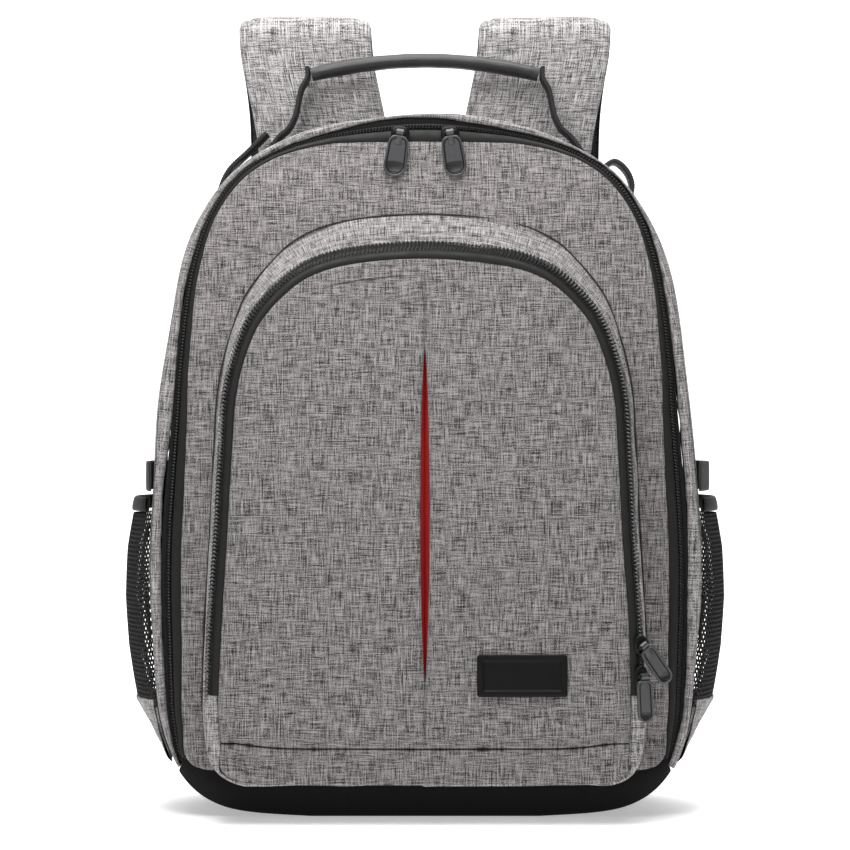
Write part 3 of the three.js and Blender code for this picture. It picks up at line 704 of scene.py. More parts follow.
# A full turn, and the pitches of webbing's ribs and of a thread's plies
CIRCLE = 6.2832
RIB_PITCH = 1.3
PLY_PITCH = 0.5


def melange(nodes: Nodes, place: Socket) -> Marks:
    """Plain-woven melange yarn.

    Thin streaks of noise, drawn out along the warp and along the weft, are added to a grain of
    one thread's width. A few streaks past a threshold make bold light and dark threads.

    Returns:
        The share of the light colour, the height and the roughness factor.
    """
    shifted = nodes.add("ShaderNodeVectorMath", {0: place, 1: (37, 91, 13)}, operation="ADD")
    warp = nodes.spread(nodes.noise(place, (1.45, 0.1, 1.0), 0.6), 0.3, 0.7)
    weft = nodes.spread(nodes.noise(shifted, (0.1, 1.45, 1.0), 0.6), 0.3, 0.7)
    bold_warp = nodes.noise(shifted, (1.4, 0.07, 1.0), 0.0)
    bold_weft = nodes.noise(place, (0.07, 1.4, 1.0), 0.0)
    grain = nodes.noise(place, (1.5, 1.5, 1.5), 2.0)
    across = nodes.add("ShaderNodeSeparateXYZ", {0: place}, 0)
    up = across.node.outputs[1]
    row = nodes.math("SINE", nodes.math("MULTIPLY", up, CIRCLE * 0.8))
    column = nodes.math("SINE", nodes.math("MULTIPLY", across, CIRCLE * 0.8))
    over = nodes.math("MULTIPLY", row, column)
    value = nodes.math("ADD", nodes.math("MULTIPLY", warp, 0.27), nodes.math("MULTIPLY", weft, 0.27))
    value = nodes.math("ADD", value, nodes.math("MULTIPLY", nodes.spread(grain, 0.3, 0.7), 0.42))
    for bold in (bold_warp, bold_weft):
        value = nodes.math("ADD", value, nodes.spread(bold, 0.66, 0.8, 0.0, 0.25))
        value = nodes.math("SUBTRACT", value, nodes.spread(bold, 0.34, 0.2, 0.0, 0.25))
    share = nodes.spread(value, 0.25, 0.73)
    height = nodes.math(
        "ADD", nodes.math("MULTIPLY", value, 0.7),
        nodes.math("MULTIPLY", nodes.math("ABSOLUTE", over), 0.45),
    )
    return share, height, nodes.spread(grain, 0.2, 0.8, 0.92, 1.05)


def ribbed(nodes: Nodes, place: Socket) -> Marks:
    """Webbing yarn: chevrons from a sine of the length plus or minus the width, with grain. The colour
    follows this relief: painted shade in the hollows and painted highlight on the crests.
    """
    across = nodes.add("ShaderNodeSeparateXYZ", {0: place}, 0)
    along = across.node.outputs[1]
    fold = nodes.math("PINGPONG", across, 2.2)
    line = nodes.math("SINE", nodes.math("MULTIPLY", nodes.math("ADD", along, fold), CIRCLE / RIB_PITCH))
    grain = nodes.noise(place, (1.6, 1.6, 1.6), 2.0)
    height = nodes.math("ADD", nodes.math("MULTIPLY", line, 0.3), grain)
    # The light colour's share is the relief's height: painted shade in the hollows, painted highlight on
    # the crests
    share = nodes.spread(height, 0.2, 0.95)
    return share, height, nodes.spread(grain, 0.2, 0.8, 0.9, 1.05)


def spacer(nodes: Nodes, place: Socket) -> Marks:
    """Air mesh: the distance to the nearest cell of an even Voronoi pattern makes its dimples, and the
    colour darkens them as painted shade.
    """
    flat = nodes.stretched(place, (0.42, 0.42, 0.42))
    cells = nodes.add(
        "ShaderNodeTexVoronoi", {"Vector": flat, "Scale": 1.0, "Randomness": 0.25}, "Distance"
    )
    grain = nodes.noise(place, (2.0, 2.0, 2.0), 1.0)
    # Darker towards the middle of each dimple: painted shade in the sunk cells
    share = nodes.math("MULTIPLY", nodes.spread(cells, 0.1, 0.5), nodes.spread(grain, 0.2, 0.8, 0.5, 1.0))
    return share, nodes.spread(cells, 0.05, 0.55), nodes.spread(grain, 0.2, 0.8, 0.9, 1.05)


def moulded(nodes: Nodes, place: Socket) -> Marks:
    """A moulded skin: fine spark grain under a slow drift, which also clouds the gloss."""
    grain = nodes.noise(place, (2.4, 2.4, 2.4), 2.0)
    slow = nodes.noise(place, (0.12, 0.12, 0.12), 3.0)
    share = nodes.math("ADD", nodes.math("MULTIPLY", grain, 0.5), nodes.math("MULTIPLY", slow, 0.5))
    return nodes.spread(share, 0.3, 0.7), grain, nodes.spread(slow, 0.3, 0.7, 0.85, 1.15)


def cast(nodes: Nodes, place: Socket) -> Marks:
    """Plated casting: fine grain and a few long hair scratches."""
    grain = nodes.noise(place, (3.0, 3.0, 3.0), 2.0)
    scratch = nodes.noise(place, (5.0, 0.35, 5.0), 1.0)
    share = nodes.math("ADD", nodes.math("MULTIPLY", grain, 0.6), nodes.math("MULTIPLY", scratch, 0.4))
    return nodes.spread(share, 0.35, 0.65), share, nodes.spread(scratch, 0.3, 0.7, 0.85, 1.2)


def thread(nodes: Nodes, place: Socket) -> Marks:
    """Sewing thread: the plies' slant is a sine of the length plus the girth. The colour follows it:
    painted shade between the plies and painted highlight on them.
    """
    across = nodes.add("ShaderNodeSeparateXYZ", {0: place}, 0)
    along = across.node.outputs[1]
    twist = nodes.math("SINE", nodes.math("MULTIPLY", nodes.math("ADD", along, across), CIRCLE / PLY_PITCH))
    # The colour share is the twist's relief: painted shade between the plies, painted highlight on their
    # crests
    return nodes.spread(twist, -1.0, 1.0), twist, 1.0


EFFECTS: dict[Weave, Effect] = {
    Weave.MELANGE: melange, Weave.WEBBING: ribbed, Weave.MESH: spacer,
    Weave.MOULDED: moulded, Weave.METAL: cast, Weave.THREAD: thread,
}


def linear(level: Level) -> tuple[float, float, float, float]:
    """A screen colour of 0 to 255 as light: each share to the power 2.2."""
    return (*((k / 255) ** 2.2 for k in level), 1.0)


@dataclass(frozen=True)
class Finish:
    """A material: an effect group between two screen colours, with its gloss, bump and sheen."""

    name: str
    weave: Weave
    dark: Level
    light: Level
    slot: Slot
    rough: float = 0.8
    bump: float = 0.25
    grain: float = 0.15
    metallic: float = 0.0
    sheen: float = 0.0
    specular: float = 0.3

    def material(self) -> bpy.types.Material:
        """The material, made once."""
        if self.name in bpy.data.materials:
            return bpy.data.materials[self.name]
        made = bpy.data.materials.new(self.name)
        made.use_nodes = True
        tree = made.node_tree
        nodes = Nodes(tree)
        shader = tree.nodes["Principled BSDF"]
        place = nodes.add("ShaderNodeUVMap", {}, "UV", uv_map="Flat")
        group = tree.nodes.new("ShaderNodeGroup")
        group.node_tree = effect_group(self.weave)
        tree.links.new(place, group.inputs["Place"])
        for key, value in (
            ("Dark", linear(self.dark)), ("Light", linear(self.light)), ("Rough", self.rough)
        ):
            group.inputs[key].default_value = value
        tree.links.new(group.outputs["Color"], shader.inputs["Base Color"])
        tree.links.new(group.outputs["Roughness"], shader.inputs["Roughness"])
        relief = {"Height": group.outputs["Height"], "Strength": self.bump, "Distance": self.grain * METRE}
        tree.links.new(nodes.add("ShaderNodeBump", relief, "Normal"), shader.inputs["Normal"])
        for key, value in (
            ("Metallic", self.metallic), ("Sheen Weight", self.sheen), ("Specular IOR Level", self.specular)
        ):
            shader.inputs[key].default_value = value
        shader.inputs["Sheen Roughness"].default_value = 0.6
        return made


def melange_cloth(name: str, dark: Level, light: Level, slot: Slot) -> Finish:
    """A melange cloth between two colours."""
    return Finish(name, Weave.MELANGE, dark, light, slot, sheen=0.15, bump=0.6, grain=0.3)


PANEL_CLOTH = melange_cloth("Grey melange cloth", (34, 32, 32), (160, 155, 154), Slot.GREY)
# The lid's grey cloth again, made darker for the pocket: the extra darkness is painted shade
SHADED_POCKET_CLOTH = melange_cloth("Deep grey melange cloth", (32, 30, 30), (151, 147, 146), Slot.GREY)
SIDE_CLOTH = melange_cloth("Pale grey melange cloth", (43, 41, 41), (180, 176, 175), Slot.PALE_GREY)
STRAP_CLOTH = melange_cloth("Pale strap cloth", (53, 51, 51), (204, 200, 200), Slot.PALE_GREY)
BLACK_CLOTH = Finish(
    "Black coated cloth", Weave.WEBBING, (8, 8, 8), (24, 24, 24), Slot.BLACK, rough=0.65, bump=0.35,
    specular=0.16,
)
LINING = Finish(
    "Black air mesh", Weave.MESH, (20, 20, 20), (66, 66, 66), Slot.BLACK, rough=0.85, bump=0.8, grain=0.5
)
WEB = Finish(
    "Black webbing", Weave.WEBBING, (16, 16, 17), (62, 62, 62), Slot.BLACK, rough=0.6, bump=0.5, grain=0.25
)
EDGE = Finish("Black binding", Weave.WEBBING, (14, 14, 14), (44, 43, 42), Slot.BLACK, rough=0.7, bump=0.3)
ZIP_TAPE = Finish(
    "Matt zip tape", Weave.MOULDED, (22, 22, 21), (30, 29, 28), Slot.TAPE, rough=0.6, bump=0.1
)
COIL = Finish(
    "Nylon coil", Weave.MOULDED, (30, 30, 30), (62, 61, 60), Slot.TAPE, rough=0.35, bump=0.1, specular=0.5
)
# The main zip's coil and the band under it, darker than the pocket's coil: painted shade of the groove that
# they lie in
SHADED_MAIN_COIL = Finish(
    "Dark nylon coil", Weave.MOULDED, (12, 12, 12), (30, 30, 30), Slot.TAPE, rough=0.4, bump=0.1
)
# The main zip's sunk body tape, darker than its lid tape: painted shade of the groove
SHADED_GROOVE_TAPE = Finish("Zip groove cloth", Weave.WEBBING, (8, 8, 8), (24, 24, 24), Slot.TAPE, rough=0.85)
NET = Finish("Black net", Weave.WEBBING, (14, 14, 14), (40, 40, 40), Slot.NET, rough=0.7, bump=0.2)
RUBBER = Finish(
    "Black rubber", Weave.MOULDED, (12, 12, 12), (20, 20, 20), Slot.RUBBER, rough=0.55, bump=0.15,
    specular=0.18,
)
GRIP_RUBBER = Finish(
    "Grip rubber", Weave.MOULDED, (36, 35, 36), (52, 51, 52), Slot.RUBBER, rough=0.42, bump=0.15,
    specular=0.45,
)
RED_CLOTH = Finish(
    "Red lining cloth", Weave.WEBBING, (86, 5, 6), (168, 18, 18), Slot.RED, rough=0.6, bump=0.3
)
# Black plastic of the ladder locks; the same finish paints the shade in the pulls' windows
PLASTIC = Finish(
    "Black moulded plastic", Weave.MOULDED, (20, 20, 20), (36, 36, 36), Slot.PLASTIC, rough=0.4, bump=0.12,
    specular=0.5,
)
METAL = Finish(
    "Gunmetal plating", Weave.METAL, (66, 66, 67), (98, 98, 100), Slot.METAL, rough=0.42, bump=0.06,
    metallic=0.75, specular=0.5,
)
# Dark metal of the sliders; the same finish paints the shade in the pulls' grooves
DARK_METAL_AND_GROOVE_SHADE = Finish(
    "Blackened metal", Weave.METAL, (24, 24, 25), (44, 44, 45), Slot.METAL, rough=0.4, bump=0.06,
    metallic=0.6,
)
GREY_THREAD = Finish("Grey thread", Weave.THREAD, (92, 90, 90), (150, 147, 146), Slot.GREY, rough=0.6)
# A dark thread finish used as painted shade in the crease at the pocket gusset's foot
SEAM_SHADE = Finish("Dark seam", Weave.THREAD, (34, 33, 33), (62, 60, 60), Slot.GREY, rough=0.85)


# The body


def rings(outlines: Sequence[Outline], depths: Sequence[Depth], swell: Depth | None = None) -> Patch:
    """A closed band through outlines, each at its own depth; a swell moves points out of the band."""
    points = np.stack([line.at(depth) for line, depth in zip(outlines, depths)])
    lengths = outlines[0].lengths()
    down = np.concatenate([[0.0], np.cumsum(np.linalg.norm(np.diff(points, axis=0), axis=2).mean(axis=1))])
    patch = Patch(points, np.stack(np.meshgrid(lengths, down), axis=2), round_columns=True)
    return patch if swell is None else swollen(patch, swell)


def swollen(patch: Patch, swell: Depth) -> Patch:
    """The patch moved along its own normals by a function of its flat cloth places."""
    axes = (np.gradient(patch.points, axis=0), np.gradient(patch.points, axis=1))
    if patch.round_columns:
        wrapped = np.concatenate([patch.points[:, -2:], patch.points, patch.points[:, :2]], axis=1)
        axes = (axes[0], np.gradient(wrapped, axis=1)[:, 2:-2])
    normal = unit(np.cross(axes[1], axes[0]))
    normal *= np.sign(np.sum(normal * (patch.points - HEART))) or 1.0
    return replace(
        patch, points=patch.points + normal * swell(patch.flat[..., 0], patch.flat[..., 1])[..., None]
    )


def part_of(patch: Patch, keep: Array) -> Patch:
    """Some of a patch's columns, no longer closed round."""
    return replace(patch, points=patch.points[:, keep], flat=patch.flat[:, keep], round_columns=False)


def above(line: Outline, low: float) -> Array:
    """The numbers of an outline's points above a height, in order from right to left over the top."""
    return np.flatnonzero(line.xz[:, 1] >= low)


@dataclass(frozen=True)
class Shell:
    """The body's side gusset, its black base and its padded back."""

    base_height: float = 27.0
    base_stand: float = 2.6
    corner_rise: float = 10.0
    groove: float = 9.0
    back_roll: float = 8.0
    pad_rise: float = 5.0
    pad_middle: float = 205.0
    pad_cuts: tuple[float, ...] = (120.0, 205.0, 290.0)

    def side_rows(self) -> tuple[list[Outline], list[Depth]]:
        """Outlines and depths from the back over the side and round the rolled front rim.

        The outline's inset is minus the swell, the bulge times the sine of pi times the depth share.
        Round the rim the inset is the roll's radius times one less the cosine of the turn, and
        the depth its sine.
        """
        body = SHAPE.body()
        outlines: list[Outline] = []
        depths: list[Depth] = []
        for share in np.linspace(0, 0.97, 42):
            swell = SHAPE.bulge * math.sin(math.pi * share)
            outlines.append(body.inset(-swell, 0, 0))
            depths.append(lambda x, z, share=share: mix(SHAPE.back - GAP, SHAPE.rim_at(x, z), share))
        radius = SHAPE.rim_width(body.xz[:, 1]) / 2
        for turn in np.linspace(0, np.pi, 11):
            outlines.append(body.draw_in(radius * (1 - math.cos(turn))))
            depths.append(
                lambda x, z, turn=turn: SHAPE.rim_at(x, z) + SHAPE.rim_width(z) / 2 * (1 - math.sin(turn))
            )
        outlines.append(SHAPE.mouth())
        depths.append(lambda x, z: SHAPE.rim_at(x, z) + self.groove)
        return outlines, depths

    def wrinkles(self, along: Array, across: Array) -> Array:
        """The gusset's soft unevenness: long ripples, and short puckers that die out from its two seams."""
        seam = np.exp(-across / 7) + np.exp(-(across.max() - across) / 10)
        return 0.7 * ripple(along, across * 0.6, 3, 95) + 0.32 * seam * ripple(along, across * 0.15, 5, 13)

    def gusset(self) -> Piece:
        """The grey wall round the body, above the base."""
        outlines, depths = self.side_rows()
        whole = rings(outlines, depths, self.wrinkles)
        keep = above(outlines[0], self.base_height + GAP)
        return Piece("side_gusset_cloth", [part_of(whole, keep)], SIDE_CLOTH, ["side_gusset"])

    def base(self) -> Piece:
        """The black bottom: the same wall below the gusset, closed in front up to its top.

        The front's points run from the tucked outline straight up to the base's height, and a
        little higher at the two corners, with a root of a sine standing out.
        """
        outlines, depths = self.side_rows()
        keep = np.flatnonzero(outlines[0].xz[:, 1] < self.base_height + GAP)
        half = OUTLINE_POINTS // 2
        keep = np.concatenate([keep[keep > half], keep[keep < half]])
        wall = part_of(rings(outlines, depths), keep)
        foot = SHAPE.body().inset(0.8, 0.8, 0.8).at(lambda x, z: SHAPE.rim_at(x, z) + 0.6)[keep]
        top = foot * [0.985, 1, 0] + [0, -self.base_stand, self.base_height + GAP]
        top[:, 2] += self.corner_rise * smooth(np.abs(foot[:, 0]), 122, 148)
        share = np.linspace(0, 1, 16)[:, None, None]
        front = foot[None] * (1 - share) + top[None] * share
        front[..., 1] -= 1.6 * np.sin(np.pi * np.clip(share[..., 0] * 1.15, 0, 1)) ** 0.8
        rear = wall.points[0]
        lid = np.stack([rear, rear * [1, 1, 0] + [0, 0, self.base_height]])
        return Piece(
            "base_cloth", [wall, Patch.facing(front), Patch.facing(lid)], BLACK_CLOTH, ["base_tray"]
        )

    def back(self) -> Piece:
        """The padded back panel.

        Two rows of raised pads stand beside a plain channel: the rise is a product of rounded
        steps of the place across and up, over a rolled edge.
        """
        body = SHAPE.body()
        face = SHAPE.back + SHAPE.padding
        roll = self.back_roll
        outlines = [body.inset(roll, roll, roll), body, body, body]
        depths: list[Depth] = [lambda x, z: SHAPE.back + 0 * x] * 2
        depths += [lambda x, z: SHAPE.back + 2 + 0 * x, lambda x, z: face - roll + 0 * x]
        for turn in np.linspace(0.15, 1, 8) * np.pi / 2:
            step = roll * (1 - math.cos(turn))
            outlines.append(body.inset(step, step, step))
            depths.append(lambda x, z, turn=turn: face - roll + roll * math.sin(turn) + 0 * x)
        for step in (11, 14, 17, 20):
            outlines.append(body.inset(step, step, step))
            depths.append(lambda x, z: face + 0 * x)
        rim = rings(outlines, depths)
        inner = outlines[-1].xz[: OUTLINE_POINTS // 2 + 1]
        share = np.linspace(0, 1, 70)[None, :]
        x, z = inner[:, :1] * share, inner[:, 1:] + 0 * share
        pads = smooth(x, 14, 26) * (1 - smooth(x, 104, 124)) * (
            1 - smooth(np.abs(z - self.pad_middle), 150, 172)
        )
        cuts = sum(bump(z, middle, 5.0) for middle in self.pad_cuts)
        rise = self.pad_rise * pads * (1 - 0.75 * cuts) + 0.3 * ripple(x, z, 11, 40)
        dip = -1.5 * bump(x, 0, 6) * smooth(z, 30, 60)
        edge = np.minimum(1, (inner[:, :1] - x) / 12)
        panel = Patch.facing(np.stack([x, face + (rise * 0.9 + dip) * edge, z], axis=2))
        return Piece("back_panel_padding", [rim, panel, panel.mirrored()], LINING, ["back_panel"])

    def threads(self) -> Piece:
        """Stitches along the back seam."""
        body = SHAPE.body()
        keep = above(body, self.base_height + 6)
        seam = body.inset(-2.6, -2.0, 0).at(lambda x, z: SHAPE.back - 10 + 0 * x)[keep]
        outward = np.insert(body.normals()[keep], 1, 0.0, axis=1)
        return Piece("body_threads", stitches(seam, outward), GREY_THREAD)

    def build(self) -> None:
        """Builds the body's pieces."""
        for piece in (self.gusset(), self.base(), self.back(), self.threads()):
            piece.build()


# X, Z, angle, length, width and depth of the lid's folds
LID_CREASES = (
    (-146, 292, 62, 30, 2.6, 0.9), (-141, 300, 48, 24, 2.2, -0.8), (-137, 276, 66, 26, 2.4, 0.7),
    (-134, 322, 50, 22, 2.4, 0.7), (-147, 250, 75, 40, 3.0, 0.6), (-148, 120, 80, 60, 3.5, 0.8),
    (150, 300, 110, 30, 2.8, 0.7), (149, 180, 95, 60, 3.2, 0.6), (-104, 368, 30, 30, 3.0, 0.6),
    (96, 372, 145, 34, 3.0, 0.7), (-20, 374, 8, 60, 4.0, 0.5), (50, 381, 170, 40, 3.5, 0.5),
)


@dataclass(frozen=True)
class Lid:
    """The lid's panel and the zip round it."""

    tape: float = 0.5
    coil_to: float = 0.76
    zip_low: float = 26.0
    zip_sink: float = 3.0
    creases: tuple[Crease, ...] = tuple(Crease(*row) for row in LID_CREASES)

    def panel(self) -> Piece:
        """The lid: a rolled edge, then rings drawn in to the middle, with soft folds."""
        line = SHAPE.lid()
        outlines = [line.inset(1, 1, 1), line]
        depths: list[Depth] = [lambda x, z: SHAPE.lid_at(x, z) + 5, lambda x, z: SHAPE.lid_at(x, z) + 2.4]
        for turn in np.linspace(0, 1, 7) * np.pi / 2:
            step = 2.0 * (1 - math.cos(turn))
            outlines.append(line.inset(step, step, step))
            depths.append(lambda x, z, turn=turn: SHAPE.lid_at(x, z) + 2.0 * (1 - math.sin(turn)))
        outlines += [line.inset(step, step, step) for step in np.linspace(2.8, 16, 17)]
        middle = np.array([0.0, 212.0])
        shares = (0.93, 0.85, 0.77, 0.7, 0.6, 0.45, 0.3, 0.1, 0.0)
        outlines += [Outline(middle + (outlines[-1].xz - middle) * share) for share in shares]
        depths += [self.face] * (len(outlines) - len(depths))
        patch = rings(outlines, depths)
        patch = replace(patch, flat=patch.points[..., [0, 2]])
        return Piece("lid_cloth", [patch], PANEL_CLOTH, ["lid_panel"])

    def face(self, x: Array, z: Array) -> Array:
        """The lid's depth with its folds and a slow unevenness."""
        folds = sum(crease.at(x, z) for crease in self.creases)
        return SHAPE.lid_at(x, z) - folds - 0.5 * ripple(x, z, 21, 70)

    def zip_parts(self) -> list[Piece]:
        """The tape beside the lid, the coil, and the sunk tape beside the body; the coil and the sunk tape
        are coloured darker than the lid's tape, as painted shade of the groove.

        Each tape is a band between two blends of the lid's outline and the body's mouth, with a
        slight crown: its depth is less by a parabola across it.
        """
        start = SHAPE.lid().inset(0.8, 0.8)
        mouth = SHAPE.mouth(GAP)
        keep = above(SHAPE.body(), self.zip_low)

        def band(low: float, high: float, depth: float, crown: float, rows: int) -> Patch:
            """The band between two blend shares."""
            shares = np.linspace(low, high, rows)
            outlines = [start.blend(mouth, s) for s in shares]
            lift = [crown * (1 - (2 * k / (rows - 1) - 1) ** 2) for k in range(rows)]
            depths: list[Depth] = [lambda x, z, up=up: SHAPE.lid_at(x, z) + depth - up for up in lift]
            sunk: Depth = lambda x, z: SHAPE.lid_at(x, z) + depth + 2.0
            return part_of(rings([outlines[0], *outlines, outlines[-1]], [sunk, *depths, sunk]), keep)

        middle = start.blend(mouth, (self.tape + self.coil_to) / 2 + 0.01)
        route = middle.at(lambda x, z: SHAPE.lid_at(x, z) + 2.6)[keep]
        under = band(self.tape + 0.01, self.coil_to, 3.6, 0.2, 4)
        outer = band(self.coil_to + 0.01, 1, self.zip_sink + 1.2, 0.2, 5)
        return [
            Piece(
                "main_zip_lid_tape_cloth", [band(0, self.tape, 1.2, 0.9, 9)], ZIP_TAPE,
                ["main_zip_lid_tape"],
            ),
            Piece(
                "main_zip_coil_teeth", [coil(route, all_forward(route), 1.15, 1.9, 0.9), under], SHADED_MAIN_COIL,
                ["main_zip_coil"],
            ),
            Piece("main_zip_body_tape_cloth", [outer], SHADED_GROOVE_TAPE, ["main_zip_body_tape"]),
        ]

    def threads(self) -> Piece:
        """The stitches beside the zip on the lid."""
        line = SHAPE.lid().inset(3.2, 3.2, 3.2)
        keep = above(line, 44)
        route = line.at(self.face)[keep] - [0, 0.05, 0]
        return Piece("lid_threads", stitches(route, all_forward(route)), GREY_THREAD)

    def build(self) -> None:
        """Builds the lid's pieces."""
        for piece in (self.panel(), *self.zip_parts(), self.threads()):
            piece.build()


# Distance in from the label's edge and height over the cloth
LABEL_PROFILE = (
    (0.0, -0.6), (0.0, 1.4), (0.2, 1.85), (0.6, 2.05), (3.0, 2.05), (3.4, 1.9), (3.65, 1.5), (4.0, 1.15),
    (5.0, 1.1), (8.0, 1.15), (11.4, 1.15),
)


# X, Z, angle, length, width and depth of the pocket's folds
POCKET_CREASES = (
    (-108, 40, 84, 34, 4.0, -0.9), (-98, 36, 96, 30, 3.4, 0.7), (104, 40, 92, 34, 4.0, -0.9),
    (94, 35, 84, 30, 3.4, 0.7), (-60, 52, 8, 70, 5.0, 0.5), (60, 53, 172, 70, 5.0, 0.5),
    (-100, 88, 70, 60, 6.0, 0.5), (-84, 300, 130, 50, 6.0, 0.5), (84, 310, 40, 50, 6.0, 0.5),
    (-6, 66, 88, 40, 3.0, 0.4), (7, 70, 92, 44, 3.0, 0.4), (0, 316, 0, 90, 6.0, 0.4),
    (-121, 50, 90, 46, 2.6, -1.3), (121, 50, 90, 46, 2.6, -1.3), (-116, 52, 90, 40, 2.4, 0.8),
    (116, 52, 90, 40, 2.4, 0.8),
)


@dataclass(frozen=True)
class FrontPocket:
    """The pocket on the lid: its gusset, zip, slit front with red lining, lower band and label."""

    seam: float = 44.0
    foot_low: float = 26.0
    zip_low: float = 75.0
    zip_side: float = 8.2
    zip_top: float = 10.5
    coil_side: float = 3.3
    coil_top: float = 5.3
    slit_low: float = 84.0
    slit_high: float = 281.0
    slit_half: float = 2.8
    label_x: float = 57.0
    label_z: float = 88.0
    label_half: float = 26.5
    label_tall: float = 12.25
    label_corner: float = 1.6
    creases: tuple[Crease, ...] = tuple(Crease(*row) for row in POCKET_CREASES)

    def lift(self, x: Array) -> Array:
        """How much the cross seam curves up towards its ends."""
        return 4.0 * smooth(np.abs(x), 60, 125) ** 2

    def bent(self, points: Array) -> Array:
        """The points near the cross seam moved up with it, by a bell of their height from it."""
        moved = points.copy()
        moved[..., 2] += self.lift(points[..., 0]) * bump(points[..., 2], self.seam, 18.0)
        return moved

    def face(self, x: Array, z: Array) -> Array:
        """The pocket's depth with its folds and sewn lines.

        The cross seam and the middle seam are narrow bells sunk into the cloth, each between two
        wider swells.
        """
        folds = sum(crease.at(x, z) for crease in self.creases) + 0.45 * ripple(x, z, 31, 85)
        line = self.seam + self.lift(x)
        cross = -0.9 * (bump(z, line + 4.5, 3.6) + bump(z, line - 4.5, 3.6))
        upright = smooth(z, self.seam, self.seam + 6) * (1 - smooth(z, 318, 334))
        middle = (1.5 * bump(x, 0, 0.7) - 0.45 * bump(np.abs(x), 3.4, 2.4)) * upright
        return SHAPE.pocket_at(x, z) - folds + cross + middle

    def gusset(self) -> Piece:
        """The cloth wall between the lid and the pocket's zip.

        From its foot to its rim it is a straight blend with a sine of the share standing out,
        and fine folds run along it at the upper corners.
        """
        rim = SHAPE.pocket()
        foot = rim.inset(-3.5, -16.6, -1)

        def folds(along: Array, across: Array) -> Array:
            """Long fine folds, strongest over the top and at the upper right."""
            where = 0.35 + 0.65 * bump(along, 330, 130) + 0.3 * bump(along, 560, 130)
            lines = np.sin(across * 2 * np.pi / 5.2 + 2.2 * ripple(along, across, 41, 160))
            return where * (
                0.6 * lines * np.sin(np.pi * across / across.max())
            ) + 0.6 * ripple(along, across, 43, 60)

        shares = np.linspace(0, 1, 26)
        outlines = [foot.blend(rim, s) for s in shares]
        depths: list[Depth] = [
            lambda x, z, s=s: mix(
                SHAPE.lid_at(x, z) + 0.6, SHAPE.pocket_at(x, z) + 3.0, s
            ) - 1.6 * math.sin(math.pi * s) for s in shares
        ]
        for turn in np.linspace(0.2, 1, 6) * np.pi:
            step = 0.9 * (1 - math.cos(turn))
            outlines.append(rim.inset(step - 0.4, step - 0.4, step - 0.4))
            depths.append(lambda x, z, turn=turn: SHAPE.pocket_at(x, z) + 2.2 - 1.2 * math.sin(turn))
        patch = rings(outlines, depths, folds)
        return Piece("pocket_gusset_cloth", [patch, *self.cheeks()], SIDE_CLOTH, ["pocket_gusset"])

    def foot_seam(self) -> Piece:
        """Painted shade where the gusset meets the lid: a thin dark round tube along its foot."""
        foot = SHAPE.pocket().inset(-4.0, -17.1, -1.2)
        keep = above(foot, 62.0)
        route = foot.at(lambda x, z: SHAPE.lid_at(x, z) - 0.35)[keep]
        return Piece("pocket_foot_seam", [tube(route, oblong(1.0, 0.95, 10, 1.0), (0, 1, 0))], SEAM_SHADE)

    def panel_edge(self) -> Outline:
        """The front panel's edge: inside the zip, and down beside its ends to the pocket's foot."""
        rim = SHAPE.pocket()
        weight = smooth(rim.xz[:, 1:], self.foot_low, self.foot_low + 12)
        return Outline(mix(rim.xz, rim.inset(self.zip_side, self.zip_top).xz, weight))

    def cheeks(self) -> list[Patch]:
        """The cloth between the rim and the panel below the zip's ends, on both sides.

        Its rows blend from the rim to the panel's edge; the depth falls by a root of a sine, and
        the inner edge is tucked under the panel.
        """
        rim, edge = SHAPE.pocket(), self.panel_edge()
        out, level = rim.xz.T
        below = (level > self.foot_low + 1) & (level < self.zip_low + 1.5)
        made = []
        for hand in (-1, 1):
            keep = np.flatnonzero(below & (hand * out > 0))
            rows = []
            for s in np.linspace(0.0, 1.06, 12):
                swell = 1.3 * math.sqrt(math.sin(math.pi * min(s, 1.0))) if s < 1 else 0.0
                down = 3.2 if s > 1 else 1.7
                rows.append(
                    rim.blend(edge, s).at(lambda x, z, d=down - swell: SHAPE.pocket_at(x, z) + d)[keep]
                )
            top = np.stack(rows)
            made.append(Patch(top, top[..., [0, 2]]))
        return made

    def front(self) -> list[Piece]:
        """The two halves of the front above the cross seam and the band below it.

        Rings follow the edge inwards for 10 mm; inside them each row runs level from the edge to
        the middle seam, or to the slit, whose lips roll in.
        """
        edge = self.panel_edge()
        outlines = [edge, edge]
        depths: list[Depth] = [lambda x, z: self.face(x, z) + 4.5, lambda x, z: self.face(x, z) + 2.6]
        for turn in np.linspace(0, 1, 6) * np.pi / 2:
            step = 1.8 * (1 - math.cos(turn))
            outlines.append(edge.inset(step, step, step))
            depths.append(lambda x, z, turn=turn: self.face(x, z) + 1.8 * (1 - math.sin(turn)))
        outlines += [edge.inset(step, step, step) for step in (2.6, 3.5, 4.5, 5.5, 7, 8.5, 10)]
        depths += [self.face] * 7
        rim_patch = rings(outlines, depths)
        rim_patch = replace(
            rim_patch, points=self.bent(rim_patch.points), flat=rim_patch.points[..., [0, 2]]
        )
        half = OUTLINE_POINTS // 2
        inner = outlines[-1].xz[: half + 1]
        x_edge, z = inner[:, :1], inner[:, 1:]
        slit = self.almond(z[:, 0])[:, None]
        near = np.array([0, 0.25, 0.5, 0.8, 1.2, 1.7, 2.4, 3.2, 4.2, 5.5, 7.0, 9.0])[None]
        share = np.linspace(0, 1, 58)[None, 1:]
        reach = np.minimum(9.0, x_edge - slit)
        x = np.concatenate(
            [slit + near / 9 * reach, slit + reach + share * (x_edge - slit - reach)], axis=1
        )
        roll = 2.6 * np.exp(-((x - slit) / 0.7)) * smooth(slit, 0.05, 0.8)
        flat = np.stack([x, self.face(x, z) + roll, z + 0 * x], axis=2)
